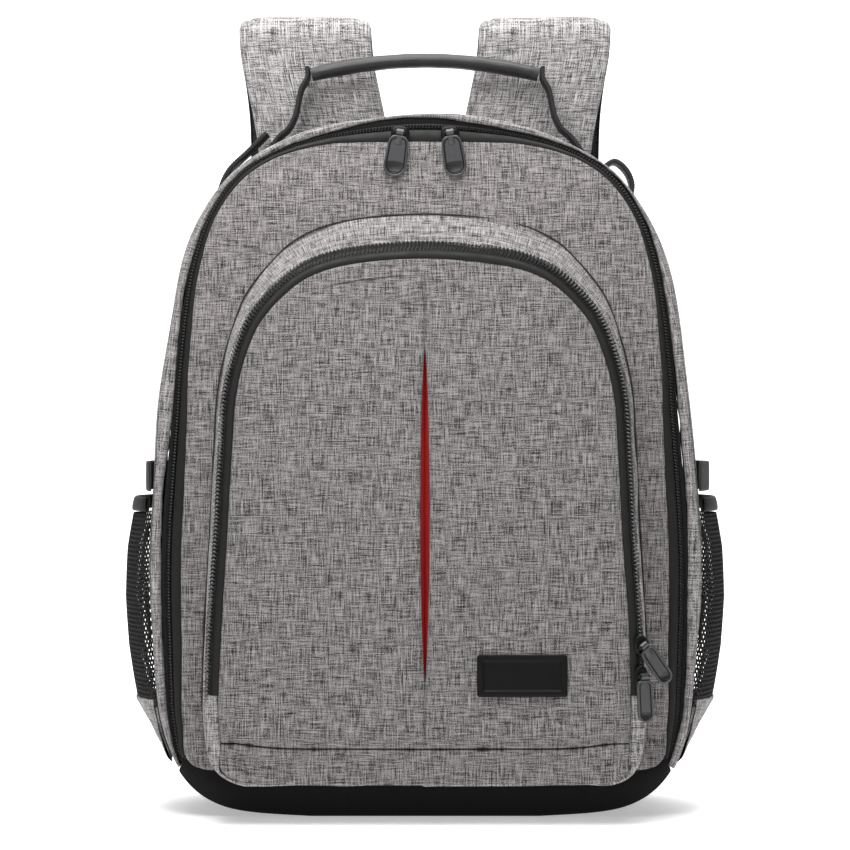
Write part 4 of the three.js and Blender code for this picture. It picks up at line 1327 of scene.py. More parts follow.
        lip = flat[:, :1] + np.array([0.5, 2.2, 0.0]) * smooth(slit, 0.05, 0.8)[..., None]
        right = Patch.facing(self.bent(np.concatenate([lip, flat], axis=1)))
        row = int(np.argmax(inner[:, 1] >= self.seam))
        ring_upper = np.arange(row, OUTLINE_POINTS - row + 1)
        ring_lower = np.concatenate([np.arange(OUTLINE_POINTS - row, OUTLINE_POINTS), np.arange(row + 1)])
        made = []
        for name, rows, ring, node, way in (
            ("pocket_front_cloth", slice(row, None), ring_upper, "pocket_front", 1.0),
            ("pocket_lower_cloth", slice(row, None, -1), ring_lower, "pocket_lower_band", -1.0),
        ):
            flat = right.flat[rows]
            half_panel = Patch(
                self.tucked(right.points[rows], way), np.concatenate([flat[:1]] * 3 + [flat])
            )
            border = part_of(rim_patch, ring)
            columns = np.swapaxes(border.points, 0, 1)
            columns = self.tucked(self.tucked(columns, way)[::-1], way)[::-1]
            flat = np.concatenate(
                [border.flat[:, :1]] * 3 + [border.flat] + [border.flat[:, -1:]] * 3, axis=1
            )
            patches = [Patch(np.swapaxes(columns, 0, 1), flat), half_panel, half_panel.mirrored()]
            made.append(Piece(name, patches, SHADED_POCKET_CLOTH, [node]))
        return made

    def tucked(self, rows: Array, way: float) -> Array:
        """The rows with their first one at the cross seam drawn back and tucked into the cloth."""
        first = rows[:1]
        steps = [first + [0.0, depth, way * back] for depth, back in ((3.4, 0.3), (1.3, 0.35), (0.35, 0.7))]
        return np.concatenate([*steps, first + [0.0, -0.1, way * 1.3], rows[1:]])

    def almond(self, z: Array) -> Array:
        """The slit's half width: its widest times a power of the cosine of the place up it."""
        middle, tall = (self.slit_low + self.slit_high) / 2, (self.slit_high - self.slit_low) / 2
        return self.slit_half * np.clip(1 - ((z - middle) / tall) ** 2, 0, 1) ** 0.75

    def zip_parts(self) -> list[Piece]:
        """The pocket's coil round its rim, and the smooth tape inside it."""
        rim = SHAPE.pocket()
        keep = above(rim, self.zip_low)
        outer = rim.inset(self.coil_side + GAP, self.coil_top + GAP)
        inner = rim.inset(self.zip_side + 0.6, self.zip_top + 0.6)
        outlines, depths = [], []
        for s in np.arange(11) / 10:
            outlines.append(outer.blend(inner, s))
            lift = 0.9 * (1 - (2 * s - 1) ** 2) + (0.8 if 0.02 < s < 0.98 else 0.0)
            depths.append(lambda x, z, up=lift: SHAPE.pocket_at(x, z) + 1.5 - up)
        tape = part_of(rings(outlines, depths), keep)
        deep: list[Depth] = [
            lambda x, z, down=down: SHAPE.pocket_at(x, z) + down for down in (3.4, 1.9, 1.9)
        ]
        bed = part_of(rings([rim, rim.inset(0.4, 0.4), outer], deep), keep)
        middle = rim.inset(self.coil_side / 2 - 0.2, self.coil_top / 2 - 0.2)
        route = middle.at(lambda x, z: SHAPE.pocket_at(x, z) + 1.0)[keep]
        radius = mix(self.coil_side, self.coil_top, middle.normals()[keep, 1] ** 2) / 2 - 0.35
        teeth = coil(route, all_forward(route), radius, 2.3, 1.15)
        return [
            Piece("pocket_zip_coil_teeth", [teeth, bed], COIL, ["pocket_zip_coil"]),
            Piece("pocket_zip_tape_cloth", [tape], ZIP_TAPE, ["pocket_zip_tape"]),
        ]

    def lining(self) -> Piece:
        """The red pleat behind the slit: two soft folds that meet in a narrow valley."""
        z = np.linspace(self.slit_low - 8, self.slit_high + 8, 160)[:, None]
        s = np.linspace(-1, 1, 41)[None]
        x = s * 8.5 * (0.3 + 0.7 * np.sin(np.pi * (z - z.min()) / np.ptp(z)))
        depth = (
            3.9 + 0.9 * bump(s, 0, 0.08) - 0.35 * bump(np.abs(s), 0.3, 0.16)
            + 0.12 * ripple(x * 3, z, 51, 22)
        )
        points = np.stack([x, SHAPE.pocket_at(x, z) + depth, z + 0 * x], axis=2)
        return Piece("slit_lining_cloth", [Patch.facing(points)], RED_CLOTH, ["slit_lining"])

    def label(self) -> Piece:
        """The blank rubber patch: rounded rectangles from its foot over a raised rim to its face."""
        turn = np.arange(96) * 2 * np.pi / 96
        c, s = np.cos(turn), np.sin(turn)

        def ring(inward: float, up: float) -> Array:
            """A rounded rectangle, a little inside the patch's edge and above the cloth."""
            radius = max(self.label_corner - inward, 0.7)
            x = self.label_x + np.sign(c) * (self.label_half - inward - radius) + radius * c
            z = self.label_z + np.sign(s) * (self.label_tall - inward - radius) + radius * s
            return np.stack([x, self.face(x, z) - up, z], axis=1)

        points = np.stack([ring(*row) for row in LABEL_PROFILE])
        middle = np.broadcast_to(points[-1].mean(axis=0), points[-1].shape)
        points = np.concatenate([points, middle[None]])
        return Piece(
            "label_rubber", [Patch(points, points[..., [0, 2]], round_columns=True)], RUBBER,
            ["label_patch"],
        )

    def threads(self) -> Piece:
        """Stitches inside the zip and on both sides of the two seams."""
        rim = SHAPE.pocket()
        inside = rim.inset(self.zip_side + 3, self.zip_top + 3)
        routes = [inside.at(self.face)[above(inside, self.zip_low)]]
        z = np.linspace(self.seam + 8, 318, 300)
        x = 3.2 + self.almond(z)
        routes += [np.stack([hand * x, self.face(hand * x, z), z], axis=1) for hand in (-1, 1)]
        x = np.linspace(-116, 116, 300)
        line = self.seam + 3.0 + 5.0 * smooth(np.abs(x), 70, 125) ** 2
        routes.append(np.stack([x, self.face(x, line), line], axis=1))
        patches = [stitch for route in routes for stitch in stitches(route, all_forward(route))]
        return Piece("pocket_threads", patches, GREY_THREAD)

    def build(self) -> None:
        """Builds the pocket's pieces."""
        cloth = (self.gusset(), self.foot_seam(), *self.front())
        for piece in (*cloth, *self.zip_parts(), self.lining(), self.label(), self.threads()):
            piece.build()


# The sides, the straps and the trim


class Side(Enum):
    """The two sides, by the sign of X."""

    LEFT = -1
    RIGHT = 1

    @property
    def word(self) -> str:
        """The side's name in lower case."""
        return self.name.lower()


# Height share and swell share of the net
NET_TABLE = ((0, 0), (0.13, 0.32), (0.24, 0.78), (0.45, 0.98), (0.65, 1), (0.85, 0.87), (1.06, 0.52))
# Height share and stand-off round the section of the pocket's foot and of its binding
FOOT_PROFILE = (
    (0, 0.4), (0.02, 1.4), *(
        (s, 2.0) for s in np.linspace(0.06, 0.94, 14)
    ), (0.98, 1.7), (1, 1.0), (1, 0.3),
    (0.5, 0.2), (0, 0.2),
)
BINDING_PROFILE = (
    (-0.06, 0.8), (-0.05, 1.8), (0.08, 2.5), (0.3, 2.7), (0.5, 2.75), (0.7, 2.7), (0.92, 2.5), (1.03, 1.8),
    (1.04, 0.8), (0.9, 0.1), (0.1, 0.1),
)


@dataclass(frozen=True)
class SidePocket:
    """A stretch-net side pocket with its binding, its cloth foot and the webbing above it."""

    side: Side
    strap_swell: float
    front: float = -24.0
    rear: float = 60.0
    low: float = 32.0
    split: float = 68.0
    high: float = 183.0
    deep: float = 14.0
    pitch: float = 3.1
    hole: float = 1.22
    binding_tall: float = 8.0
    strap_z: float = 204.0

    def place(self, u: Array, z: Array, offset: Array | float = 0.0) -> Array:
        """A point of the pocket's wall.

        It stands off the body by the depth, times the table's swell at its height, times the
        sine of pi times its share across to the power 0.6.
        """
        up, out = np.array(NET_TABLE).T
        y = mix(self.front, self.rear, u)
        swell = self.deep * np.interp(
            (z - self.low) / (self.high - self.low), up, out
        ) * np.sin(np.pi * np.clip(u, 0, 1)) ** 0.6
        x = SHAPE.side_at(y, z) + 0.6 + swell + offset
        return np.stack(np.broadcast_arrays(self.side.value * x, y, z), axis=-1)

    def wall(self, low: float, high: float, profile: Sequence[tuple[float, float]]) -> Patch:
        """A closed band of the wall between two heights.

        Args:
            low: the lowest height.
            high: the highest.
            profile: pairs of a share of the height and a stand-off, from the outside round.

        Returns:
            The band, closed round its section.
        """
        u = np.linspace(0, 1, 61)[None]
        share, offset = np.array(profile).T[..., None]
        return replace(Patch.measured(self.place(u, mix(low, high, share), offset)), round_rows=True)

    def net(self) -> Piece:
        """The pierced net: six-sided cells in offset rows, each a ring round a round hole.

        A cell's outer corners lie on a hexagon and its inner ones on a circle; both are carried
        from flat places in millimetres onto the wall.
        """
        wide, tall = 96.0, self.high - self.split + 2
        pitch, rise = self.pitch, self.pitch * math.sqrt(3) / 2
        rows = np.arange(int(tall / rise))
        columns = np.arange(int(wide / pitch))
        cx, cz = np.meshgrid(columns * pitch, rows * rise)
        cx = cx + (rows % 2 * pitch / 2)[:, None]
        corner = np.arange(12)
        turn = corner * np.pi / 6
        reach = pitch / math.sqrt(3) * np.where(corner % 2 == 1, 1.0, math.cos(math.pi / 6))
        circle = np.stack([np.cos(turn), np.sin(turn)], axis=1)
        middle = np.stack([cx, cz], axis=-1)[:, :, None]
        loops = [
            middle + circle * np.broadcast_to(radius, 12)[:, None]
            for radius in (reach, self.hole + 0.22, self.hole)
        ]
        flat = np.stack([*loops, loops[-1]], axis=2).reshape(-1, 4, 12, 2)
        lifts = (1.0, 1.12, 1.0, 0.2)
        lows = self.split - 1
        points = np.stack(
            [self.place(flat[:, k, :, 0] / wide, lows + flat[:, k, :, 1], lifts[k]) for k in range(4)],
            axis=1,
        )
        cells = CellPatch(points.reshape(-1, 12, 3), flat.reshape(-1, 12, 2), round_columns=True, loops=4)
        name = f"side_pocket_net_{self.side.word}"
        return Piece(f"{name}_cloth", [cells], NET, [name])

    def foot(self) -> Piece:
        """The cloth foot below the net, slightly uneven."""
        foot = swollen(
            self.wall(self.low, self.split + 1.5, FOOT_PROFILE), lambda a, b: 0.25 * ripple(a, b, 61, 18)
        )
        name = f"side_pocket_foot_{self.side.word}"
        return Piece(f"{name}_cloth", [foot], SIDE_CLOTH, [name])

    def binding(self) -> Piece:
        """The binding along the net's top."""
        top = self.high + GAP
        name = f"side_pocket_binding_{self.side.word}"
        return Piece(
            f"{name}_cloth", [self.wall(top, top + self.binding_tall, BINDING_PROFILE)], EDGE, [name]
        )

    def strap(self) -> Piece:
        """The webbing above the pocket, which stands off the body by a sine."""
        u = np.linspace(0, 1, 50)
        y = mix(-22.0, 58.0, u)
        z = np.full_like(y, self.strap_z)
        x = self.side.value * (SHAPE.side_at(y, z) + 1.6 + self.strap_swell * np.sin(np.pi * u))
        name = f"side_strap_{self.side.word}"
        return Piece(f"{name}_web", [webbing(np.stack([x, y, z], axis=1), (0, 0, 1), 18, 2)], WEB, [name])

    def build(self) -> None:
        """Builds the side's pieces."""
        for piece in (self.net(), self.foot(), self.binding(), self.strap()):
            piece.build()


# Out and up, as shares of the body's half width and height, with the share of the swing between
STRAP_RISE = ((0.368, 0.877), (0.4, 0.991), (0.459, 1.111))
STRAP_FALL = (
    (0.458, 0.185, 1.111), (0.43, 0.444, 1.014), (0.44, 0.889, 0.825), (0.49, 1, 0.637),
    (0.55, 0.704, 0.472), (0.6, 0.296, 0.358),
)
# Out, as a share of the body's half width, and up, as a share of the ladder lock's slot
STRAP_TAIL = ((0.624, 0.86), (0.679, 0.61), (0.715, 0.457), (0.733, 0.287))


@dataclass(frozen=True)
class ShoulderStrap:
    """A padded shoulder strap with its lining and binding, its ladder lock and lower webbing."""

    side: Side
    width: float = 84.0
    taper: float = 26.0
    cover: float = 8.0
    lining: float = 2.7
    edge: float = 1.4
    fold_y: float = 94.3
    fold: float = 5.0
    swing: float = 27.0
    lock_width: float = 38.0
    lock_height: float = 30.0
    lock_bar: float = 5.0
    rows: int = 220

    def route(self) -> Array:
        """The strap's middle line: up the back, over the fold and down behind it."""
        half, tall = SHAPE.half, SHAPE.height
        points = [(out * half, self.fold_y - self.fold, up * tall) for out, up in STRAP_RISE]
        for share in (0.75, 0.5, 0.25):
            turn = math.pi * share
            back, up = self.fold * math.cos(turn), self.fold * math.sin(turn)
            points.append((0.467 * half, self.fold_y + back, 1.144 * tall + up))
        points += [(out * half, self.fold_y + back * self.swing, up * tall) for out, back, up in STRAP_FALL]
        return np.array(points) * [self.side.value, 1, 1]

    def frame(self, count: int) -> tuple[Array, Array, Array]:
        """Evenly spaced points of the route, their normals away from the lining, and the widths."""
        run = spaced(hermite_run(self.route(), False), count)
        slope = unit(np.gradient(run, axis=0))
        normal = unit(np.cross(np.array([1.0, 0, 0]), slope))
        width = self.width - self.taper * smooth(np.linspace(0, 1, count), 0.6, 1)
        return run, normal, width

    def surface(self, w: Array, height: Array) -> Array:
        """Points at shares of the half width across and heights off the route."""
        run, normal, width = self.frame(self.rows)
        across = (w * width[:, None] / 2)[..., None] * np.array([1.0, 0, 0])
        return run[:, None] + across + normal[:, None] * height[..., None]

    def pad(self) -> Piece:
        """The padded cover.

        Across the strap its height is the edge's plus the cover's times the root of one less the
        sixth power of the share, with dents along the quilting lines and a slow unevenness.
        """
        w = np.sin(np.linspace(-1, 1, 61) * np.pi / 2)[None]
        run_at = np.linspace(0, 1, self.rows)[:, None]
        full = self.edge + (self.cover - self.edge) * np.sqrt(np.clip(1 - np.abs(w) ** 6, 0, 1))
        height = full + 0.35 * ripple(w * 40, run_at * 600, 71 + self.side.value, 55) * (1 - w**2)
        height = height - 1.1 * bump(np.abs(w), 0.86, 0.035)
        top = self.surface(w, height)
        bottom = self.surface(w[:, ::-1], np.full_like(height, GAP / 2))
        loop = np.concatenate([top, bottom], axis=1)
        ends = [np.broadcast_to(loop[k].mean(axis=0), loop[k].shape)[None] for k in (0, -1)]
        patch = Patch.measured(np.concatenate([ends[0], loop, ends[1]]), round_columns=True)
        lengths = run_length(self.frame(self.rows)[0])
        along = np.concatenate([lengths[:1], lengths, lengths[-1:]])[:, None] + 0 * patch.flat[..., 0]
        across = np.concatenate([w[0], w[0, ::-1]])[None] * self.width / 2 + 0 * along
        patch = replace(patch, flat=np.stack([across, along], axis=2))
        name = f"shoulder_strap_{self.side.word}"
        return Piece(f"{name}_pad", [patch], STRAP_CLOTH, [name])

    def trims(self) -> list[Piece]:
        """The lining, the binding round both edges, and the stitches inside the binding."""
        word = self.side.word
        w = np.linspace(-0.985, 0.985, 31)[None]
        thick = 0.15 + (self.lining - 0.15) * np.sqrt(np.clip(1 - (w * 0.99) ** 8, 0, 1))
        outer = self.surface(w, -thick * np.ones((self.rows, 1)))
        inner = self.surface(w[:, ::-1], np.full((self.rows, w.size), -0.15))
        lining = Patch.measured(np.concatenate([outer, inner], axis=1), round_columns=True)
        run, normal, width = self.frame(260)
        edges, threads = [], []
        for hand in (-1, 1):
            line = run + np.outer(
                width / 2 * hand, [1.0, 0, 0]
            ) - normal * 0.3 - np.array([0.35 * hand, 0, 0])
            edges.append(tube(line, oblong(1.5, 3.1, 16, 0.6), (1, 0, 0)))
            seam = run + np.outer(width / 2 * 0.89 * hand, [1.0, 0, 0])
            height = self.edge + (self.cover - self.edge) * math.sqrt(1 - 0.89**6) - 0.75
            threads += stitches(seam + normal * height, normal, 4.0, 2.8)
        return [
            Piece(f"strap_lining_{word}_mesh", [lining], LINING, [f"strap_lining_{word}"]),
            Piece(f"strap_edge_{word}_binding", edges, EDGE),
            Piece(f"strap_threads_{word}", threads, GREY_THREAD),
        ]

    def lock(self) -> list[Piece]:
        """The ladder lock, as rounded bars, and the webbing through it down to the body."""
        word, end = self.side.word, self.route()[-1]
        y = end[1] + 1.0
        z = end[2] - self.lock_height / 2 - 1.3
        wide, bar = self.lock_width, self.lock_bar
        span = np.linspace(-1, 1, 25)
        section = oblong(bar - 0.3, 3.9, 16, 0.5)
        bars = []
        for up in (-1.0, 0.0, 1.0):
            level = z + up * (self.lock_height - bar) / 2
            bow = 0.6 * (1 - span**2) if up else 0 * span
            line = np.stack([end[0] + span * (wide / 2 - 1), y + bow, level + 0 * span], axis=1)
            grow = np.clip(1.25 - np.abs(span) ** 12, 0.5, 1)[:, None, None] * section
            bars.append(tube(line, grow, (0, 0, 1)))
        for hand in (-1, 1):
            x = end[0] + hand * (wide - bar) / 2
            line = np.stack([x + 0 * span, y + 0 * span, z + span * (self.lock_height / 2 - 0.6)], axis=1)
            bars.append(
                tube(line, np.clip(1.2 - np.abs(span) ** 10, 0.6, 1)[:, None, None] * section, (1, 0, 0))
            )
        slot = z - bar
        flat = SHAPE.back + SHAPE.padding + GAP + 1.0
        depths = (y + 4.0, y - 4.0, y - 8.0, flat + 4.0, flat + 1.2, flat)
        places = [(end[0], slot + 1), (end[0], slot - 1)]
        places += [(self.side.value * out * SHAPE.half, up * slot) for out, up in STRAP_TAIL]
        route = np.array([(x, depth, up) for (x, up), depth in zip(places, depths)])
        loop = [[end[0], y + back, z + up] for back, up in ((2.9, 11.4), (2.6, 5.5), (-1.2, 3.6))]
        neck = np.array([end + [0, 1.5, 6], end + [0, 0.6, -1], *loop])
        return [
            Piece(f"ladder_lock_{word}_buckle", bars, PLASTIC, [f"ladder_lock_{word}"]),
            Piece(
                f"strap_webbing_{word}_web", [webbing(route, (1, 0, 0), 25, 2)], WEB,
                [f"strap_webbing_{word}"],
            ),
            Piece(f"strap_neck_{word}_web", [webbing(neck, (1, 0, 0), 26, 1.5)], WEB),
        ]

    def build(self) -> None:
        """Builds the strap's pieces."""
        for piece in (self.pad(), *self.trims(), *self.lock()):
            piece.build()


def near_body(side: Side, z: float, away: float, y: float) -> Triple:
    """A point a little way off the body's outline at a height."""
    half = OUTLINE_POINTS // 2 + 1
    body = SHAPE.body()
    edge, normals = body.xz[:half], body.normals()[:half]
    k = int(np.argmax(edge[:, 1] >= z))
    return (side.value * (edge[k, 0] + normals[k, 0] * away), y, edge[k, 1] + normals[k, 1] * away)


# Out and up, as shares of the body's half width and height
HANDLE_LEG = ((0.4745, 1.0557), (0.498, 1.016), (0.523, 0.997), (0.56, 0.984))
CORNER_TAUT = ((0.606, 0.99), (0.679, 0.962), (0.752, 0.934), (0.785, 0.905))
CORNER_SLACK = ((0.685, 0.939), (0.727, 0.948), (0.77, 0.936), (0.794, 0.915))


@dataclass(frozen=True)
class CarryHandle:
    """The moulded grip, its two webbing legs and the short webbing at each top corner."""

    half: float = 72.0
    low: float = 457.1
    rise: float = 9.0
    radius: float = 4.6
    width: float = 20.0
    thick: float = 3.2
    corner_thick: float = 3.6

    def middle(self, share: Array) -> Array:
        """The grip's middle line, a parabola, at shares of its half width."""
        out, up = share * self.half, self.low + self.rise * (1 - share**2)
        return np.stack([out, 0 * share + SHAPE.back, up], axis=1)

    def grip(self) -> Piece:
        """The grip: an oval section on a parabola, between two collars.

        The radius falls at the ends with a high power of the share and swells a little with a
        cosine along the grip; four fine moulded lines run along it.
        """
        s = np.linspace(-1, 1, 121)
        turn = np.arange(40) * 2 * np.pi / 40
        groove = 1 - 0.05 * sum(bump(turn, share * np.pi, 0.13) for share in (0.25, 0.75, 1.25, 1.75))
        grow = 1 - 0.22 * np.abs(s) ** 18 - 0.02 * np.cos(s * 22)
        oval = np.stack([np.cos(turn) * 1.25, np.sin(turn)], axis=1)
        section = oval[None] * (self.radius * grow[:, None] * groove[None])[..., None]
        collars = []
        for hand in (-1, 1):
            line = self.middle(np.linspace(0.93, 1.0, 9) * hand)
            collars.append(tube(line, oblong(2.28 * self.radius, 1.82 * self.radius, 28, 0.7), (0, 1, 0)))
        grip = tube(self.middle(s), section, (0, 1, 0))
        return Piece("handle_grip_rubber", [grip, *collars], GRIP_RUBBER, ["handle_grip"])

    def strip(self, name: str, route: list[Triple], thick: float) -> Piece:
        """A short webbing along a route in the plane of the back seam."""
        return Piece(f"{name}_web", [webbing(np.array(route), (0, 1, 0), self.width, thick)], WEB, [name])

    def leg(self, side: Side) -> Piece:
        """One webbing leg from the grip's end down to the body's shoulder."""
        y = SHAPE.back
        top = self.half + self.thick / 2 + 3 * GAP
        route = [
            (side.value * top, y, self.low + self.radius), (side.value * top, y, self.low - self.radius / 2)
        ]
        route += [(side.value * out * SHAPE.half, y, up * SHAPE.height) for out, up in HANDLE_LEG]
        route += [near_body(side, up * SHAPE.height, self.thick / 2 + 1.2, y) for up in (0.934, 0.922)]
        return self.strip(f"handle_webbing_{side.word}", route, self.thick)

    def corner(self, side: Side) -> Piece:
        """One corner's webbing: taut on the left, arched on the right."""
        y = SHAPE.back + 2
        rows = CORNER_TAUT if side is Side.LEFT else CORNER_SLACK
        route = [(side.value * out * SHAPE.half, y, up * SHAPE.height) for out, up in rows]
        route += [
            near_body(side, up * SHAPE.height, self.corner_thick / 2 + 1.2, y) for up in (0.877, 0.854)
        ]
        return self.strip(f"corner_webbing_{side.word}", route, self.corner_thick)

    def build(self) -> None:
        """Builds the handle's pieces."""
        for piece in (self.grip(), *(make(side) for side in Side for make in (self.leg, self.corner))):
            piece.build()


# Share of the shield's size and height over the zip, from the middle below to the middle on top
SHIELD_PROFILE = ((0.0, 0.0), (1.0, 0.0), (1.0, 1.4), (0.97, 2.0), (0.88, 2.35), (0.6, 2.4), (0.0, 2.45))


@dataclass(frozen=True)
class ZipPull:
    """A slider with a staple bridge, and the capsule pull that swings on its bar."""

    name: str
    body: Body
    anchor: Triple
    zip_way: Triple
    out: Triple
    hang: Triple
    length: float = 27.0
    width: float = 10.0
    flare: float = 1.0
    thick: float = 2.2
    bar_height: float = 5.3

    def axes(self) -> tuple[Array, Array, Array, Array]:
        """The bar's direction, the hanging one, the one that the plate faces, and the pivot."""
        out, hang = np.array(self.out), np.array(self.hang)
        bar = unit(np.cross(hang, out))
        face = np.cross(bar, hang)
        return bar, hang, face * np.sign(face @ out), np.array(self.anchor) + out * self.bar_height

    def capsule(self, turn: Array, inward: float, up: float) -> Array:
        """The capsule outline of the plate at turns round it, at an inset and a height.

        Its two ends are half circles, the upper one blunter, and it widens evenly downwards.
        """
        bar, hang, face, pivot = self.axes()
        c, s = np.cos(turn), np.sin(turn)
        half = self.width / 2 - inward
        power = np.where(s < 0, 0.62, 1.0)
        along = np.where(
            s > 0, self.length - self.width / 2, self.width / 2 + 2.0
        ) + half * np.sign(s) * np.abs(s) ** power
        across = half * np.sign(c) * np.abs(c) ** power * mix(1 / self.flare, 1.0, along / self.length)
        return pivot + across[:, None] * bar + along[:, None] * hang + up * face

    def slider(self) -> Piece:
        """The slider: a domed shield drawn in at its tail, and a bent staple over it.

        The shield's half width is a root of one less the fourth power of the share along it, and
        its loops rise over a rounded edge.
        """
        bar = self.axes()[0]
        out, way, anchor = (np.array(v) for v in (self.out, self.zip_way, self.anchor))
        side = np.cross(out, way)
        turn = np.arange(48) * 2 * np.pi / 48
        c, s = np.cos(turn), np.sin(turn)
        taper = 1 - 0.16 * (c > 0) * c
        x, y = 5.5 * np.sign(c) * np.abs(c) ** 0.7, 4.0 * np.sign(s) * np.abs(s) ** 0.5 * taper
        shield = np.stack(
            [anchor + x[:, None] * k * way + y[:, None] * k * side + up * out for k, up in SHIELD_PROFILE]
        )
        arc = np.linspace(-1, 1, 31)
        reach = 3.15 * np.sign(arc) * np.minimum(1, np.abs(arc) * 1.5)
        height = 1.6 + 3.7 * np.clip((1 - np.abs(arc)) * 3.0, 0, 1) ** 0.6
        line = anchor + reach[:, None] * bar + height[:, None] * out
        staple = tube(line, oblong(2.0, 1.3, 14, 0.7), np.cross(bar, out))
        patches = [Patch.measured(shield, round_columns=True), staple]
        return Piece(
            f"{self.name}_slider_cast", patches, DARK_METAL_AND_GROOVE_SHADE, [f"{self.name}_slider"],
            middle=tuple(self.anchor),
        )

    def pull(self) -> Piece:
        """The pull: loops of its capsule outline from its back over a rounded, raised rim to its plate."""
        bar, hang, _, pivot = self.axes()
        turn = np.arange(64) * 2 * np.pi / 64
        half = self.thick / 2
        profile = (
            (2.5, -half), (0.5, -half), (0.15, -half * 0.8), (0.0, -half * 0.4), (0.0, half * 0.5),
            (0.12, half * 0.85), (0.4, half), (1.0, half), (1.25, half * 0.85), (1.35, half - 0.55),
            (1.7, half - 0.6), (3.0, half - 0.6),
        )
        rows = np.stack([self.capsule(turn, *row) for row in profile])
        ends = [np.broadcast_to(rows[k].mean(axis=0), rows[k].shape)[None] for k in (0, -1)]
        plate = Patch.measured(np.concatenate([ends[0], rows, ends[1]]), round_columns=True)
        barrel = tube(pivot + np.linspace(-1, 1, 13)[:, None] * 2.1 * bar, oblong(3.9, 3.9, 24, 1.0), hang)
        tongue = tube(
            pivot + np.linspace(2.2, 7.6, 9)[:, None] * hang, oblong(4.2, self.thick * 0.8, 16, 0.6), bar
        )
        name, middle = f"{self.name}_pull", tuple(pivot + hang * 13)
        return Piece(f"{name}_cast", [plate, barrel, tongue], METAL, [name], self.body, middle)

    def groove(self) -> Piece:
        """Painted shade in the groove between the rim and the plate: a thin dark tube along the capsule's
        outline.
        """
        _, _, face, pivot = self.axes()
        line = self.capsule(np.linspace(0, 2 * np.pi, 97), 1.75, self.thick / 2 - 0.56)
        groove = tube(line, oblong(0.7, 0.3, 8, 1.0), np.cross(face, np.gradient(line, axis=0)))
        return Piece(
            f"{self.name}_pull_groove", [groove], DARK_METAL_AND_GROOVE_SHADE, (), self.body, tuple(pivot - 20 * face)
        )

    def window(self) -> Piece:
        """Painted shade in the window of the pull's lower end: a dark sheet under its rim."""
        bar, hang, face, pivot = self.axes()
        turn = np.arange(40) * 2 * np.pi / 40
        c, s = np.cos(turn), np.sin(turn)
        wide = self.width / 2 - 1.9
        tall = np.where(s > 0, wide * 0.94, wide * 0.3)
        x, y = (
            wide * np.sign(c) * np.abs(c) ** 0.8, self.length - wide - 2.2
            + tall * np.sign(s) * np.abs(s) ** 0.8
        )
        mx, my = x.mean(), y.mean()
        rows = []
        for k, up in ((1.0, -0.1), (1.0, 0.12), (0.86, 0.14), (0.8, 0.05), (0.0, 0.05)):
            across, along = (mx + (x[:, None] - mx) * k), (my + (y[:, None] - my) * k)
            rows.append(pivot + across * bar + along * hang + (self.thick / 2 - 0.62 + up) * face)
        # A dark sheet standing for the shade in the window's recess
        plate = Patch.measured(np.stack(rows), round_columns=True)
        return Piece(f"{self.name}_pull_window", [plate], PLASTIC, (), self.body, tuple(pivot - 20 * face))

    def build(self) -> None:
        """Builds the slider and its pull."""
        for piece in (self.slider(), self.pull(), self.groove(), self.window()):
            piece.build()


# Where the four sliders stand, and how their pulls hang
MAIN_SPREAD = 15.0
MAIN_UP = 0.9705
MAIN_TILT = 9
POCKET_LEAN = 20
POCKET_IN = 2.8
POCKET_PULLS = (
    ("pocket_upper", Body.POCKET_UPPER, 106.0, 36), ("pocket_lower", Body.POCKET_LOWER, 88.0, 3)
)


def zip_pulls() -> list[ZipPull]:
    """The four sliders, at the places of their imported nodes."""
    made = []
    z = MAIN_UP * SHAPE.height
    y = float(SHAPE.lid_at(np.array(MAIN_SPREAD), np.array(z))) - GAP
    for name, body, hand in (("main_left", Body.MAIN_LEFT, -1), ("main_right", Body.MAIN_RIGHT, 1)):
        turn = math.radians(MAIN_TILT) * hand
        place, hang = (hand * MAIN_SPREAD, y, z), (math.sin(turn), 0, -math.cos(turn))
        made.append(ZipPull(name, body, place, (1, 0, 0), (0, -1, 0), hang, width=14.6, flare=1.25))
    lean = math.radians(POCKET_LEAN)
    out = (math.sin(lean), -math.cos(lean), 0.0)
    edge = SHAPE.pocket_half - POCKET_IN
    for name, body, level, degrees in POCKET_PULLS:
        turn = math.radians(degrees)
        y = float(SHAPE.pocket_at(np.array(edge), np.array(level))) - 2.2
        hang = (-out[1] * math.sin(turn), out[0] * math.sin(turn), -math.cos(turn))
        made.append(ZipPull(name, body, (edge, y, level), (0, 0, 1), out, hang))
    return made


# The studio


@dataclass(frozen=True)
class SoftLight:
    """A square soft light: its place, the point that it faces, its size and its watts."""

    name: str
    place: Triple
    aim: Triple
    size: float
    power: float

    def build(self) -> None:
        """Makes the light, hidden from the camera."""
        data = bpy.data.lights.new(self.name, "AREA")
        data.size, data.energy = self.size * METRE, self.power
        made = bpy.data.objects.new(self.name, data)
        way = np.array(self.aim, dtype=float) - self.place
        made.location = np.array(self.place) * METRE
        slant, round_z = math.acos(-way[2] / np.linalg.norm(way)), math.atan2(way[1], way[0]) - math.pi / 2
        made.rotation_euler = (slant, 0, round_z)
        made.visible_camera = False
        bpy.context.scene.collection.objects.link(made)


LIGHTS = (
    SoftLight("key_light", (-120, -430, 800), (0, -40, 300), 480, 5.0),
    SoftLight("fill_light", (1400, -1300, 700), (0, 0, 250), 1200, 0.7),
    SoftLight("top_light", (0, 0, 1700), (0, 0, 300), 1200, 26),
    SoftLight("back_light", (0, 1500, 900), (0, 0, 250), 1000, 8),
    SoftLight("paper_light", (0, 700, 1500), (0, 2700, 400), 1500, 40),
)


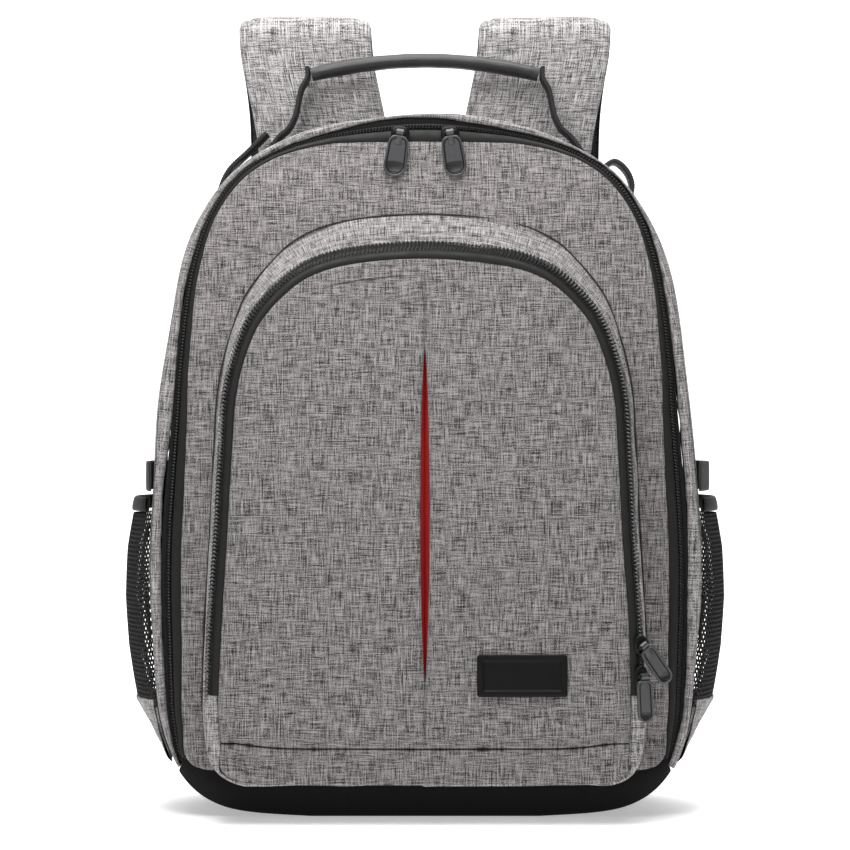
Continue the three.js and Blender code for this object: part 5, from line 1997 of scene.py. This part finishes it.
@dataclass(frozen=True)
class Studio:
    """The pale sweep that the bag stands on, the soft lights, and the camera level with its middle."""

    camera_y: float = -1700.0
    camera_z: float = 235.0
    lens: float = 117.88
    turn_y: float = 1800.0
    turn_radius: float = 900.0
    paper_glow: float = 0.4
    world_glow: float = 0.07

    def sweep(self) -> None:
        """The floor and backdrop: a straight floor that turns up through a quarter circle."""
        turn = np.linspace(0, np.pi / 2, 24)
        r = self.turn_radius
        y = np.concatenate(
            [np.linspace(-3500, self.turn_y, 30), self.turn_y + r * np.sin(turn[1:]), [self.turn_y + r]]
        )
        z = np.concatenate([np.zeros(30), r * (1 - np.cos(turn[1:])), [4200.0]]) - 0.2
        x = np.linspace(-4500, 4500, 30)
        points = np.stack(np.broadcast_arrays(x[None], y[:, None], z[:, None]), axis=2)
        mesh = bpy.data.meshes.new("studio_sweep")
        patch = Patch.measured(points)
        mesh.from_pydata((points.reshape(-1, 3) * METRE).tolist(), [], patch.faces()[:, ::-1].tolist())
        mesh.shade_smooth()
        made = bpy.data.objects.new("studio_sweep", mesh)
        bpy.context.scene.collection.objects.link(made)
        paper = bpy.data.materials.new("White paper")
        paper.use_nodes = True
        nodes = Nodes(paper.node_tree)
        shader = paper.node_tree.nodes["Principled BSDF"]
        place = nodes.add("ShaderNodeTexCoord", {}, "Object")
        cloud = nodes.noise(place, (3.0, 3.0, 3.0), 2.0)
        pale = nodes.mixed(cloud, (0.93, 0.93, 0.93, 1), (0.97, 0.97, 0.97, 1))
        paper.node_tree.links.new(pale, shader.inputs["Base Color"])
        values = {"Roughness": 0.9, "Emission Color": (1, 1, 1, 1), "Emission Strength": self.paper_glow}
        for key, value in {**values, "Specular IOR Level": 0.1}.items():
            shader.inputs[key].default_value = value
        mesh.materials.append(paper)

    def build(self) -> None:
        """Builds the camera first, then the lights, the sweep and the world."""
        scene = bpy.context.scene
        data = bpy.data.cameras.new("photo_camera")
        data.lens, data.sensor_width, data.clip_end = self.lens, 36.0, 50.0
        camera = bpy.data.objects.new("photo_camera", data)
        camera.location = (0, self.camera_y * METRE, self.camera_z * METRE)
        camera.rotation_euler = (math.pi / 2, 0, 0)
        scene.collection.objects.link(camera)
        scene.camera = camera
        self.sweep()
        for light in LIGHTS:
            light.build()
        world = bpy.data.worlds.new("studio_world")
        world.use_nodes = True
        glow = world.node_tree.nodes["Background"].inputs
        glow[0].default_value, glow[1].default_value = (1, 1, 1, 1), self.world_glow
        scene.world = world
        scene.view_settings.view_transform = "Standard"


def main() -> None:
    """Builds every sub-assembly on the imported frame."""
    logging.basicConfig(level=logging.INFO, format="%(message)s")
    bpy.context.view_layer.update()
    parts = [
        Studio(), Shell(), Lid(), FrontPocket(), SidePocket(Side.LEFT, 1.5), SidePocket(Side.RIGHT, 5.0),
        ShoulderStrap(Side.LEFT), ShoulderStrap(Side.RIGHT), CarryHandle(), *zip_pulls(),
    ]
    for part in parts:
        part.build()


if __name__ == "__main__":
    main()
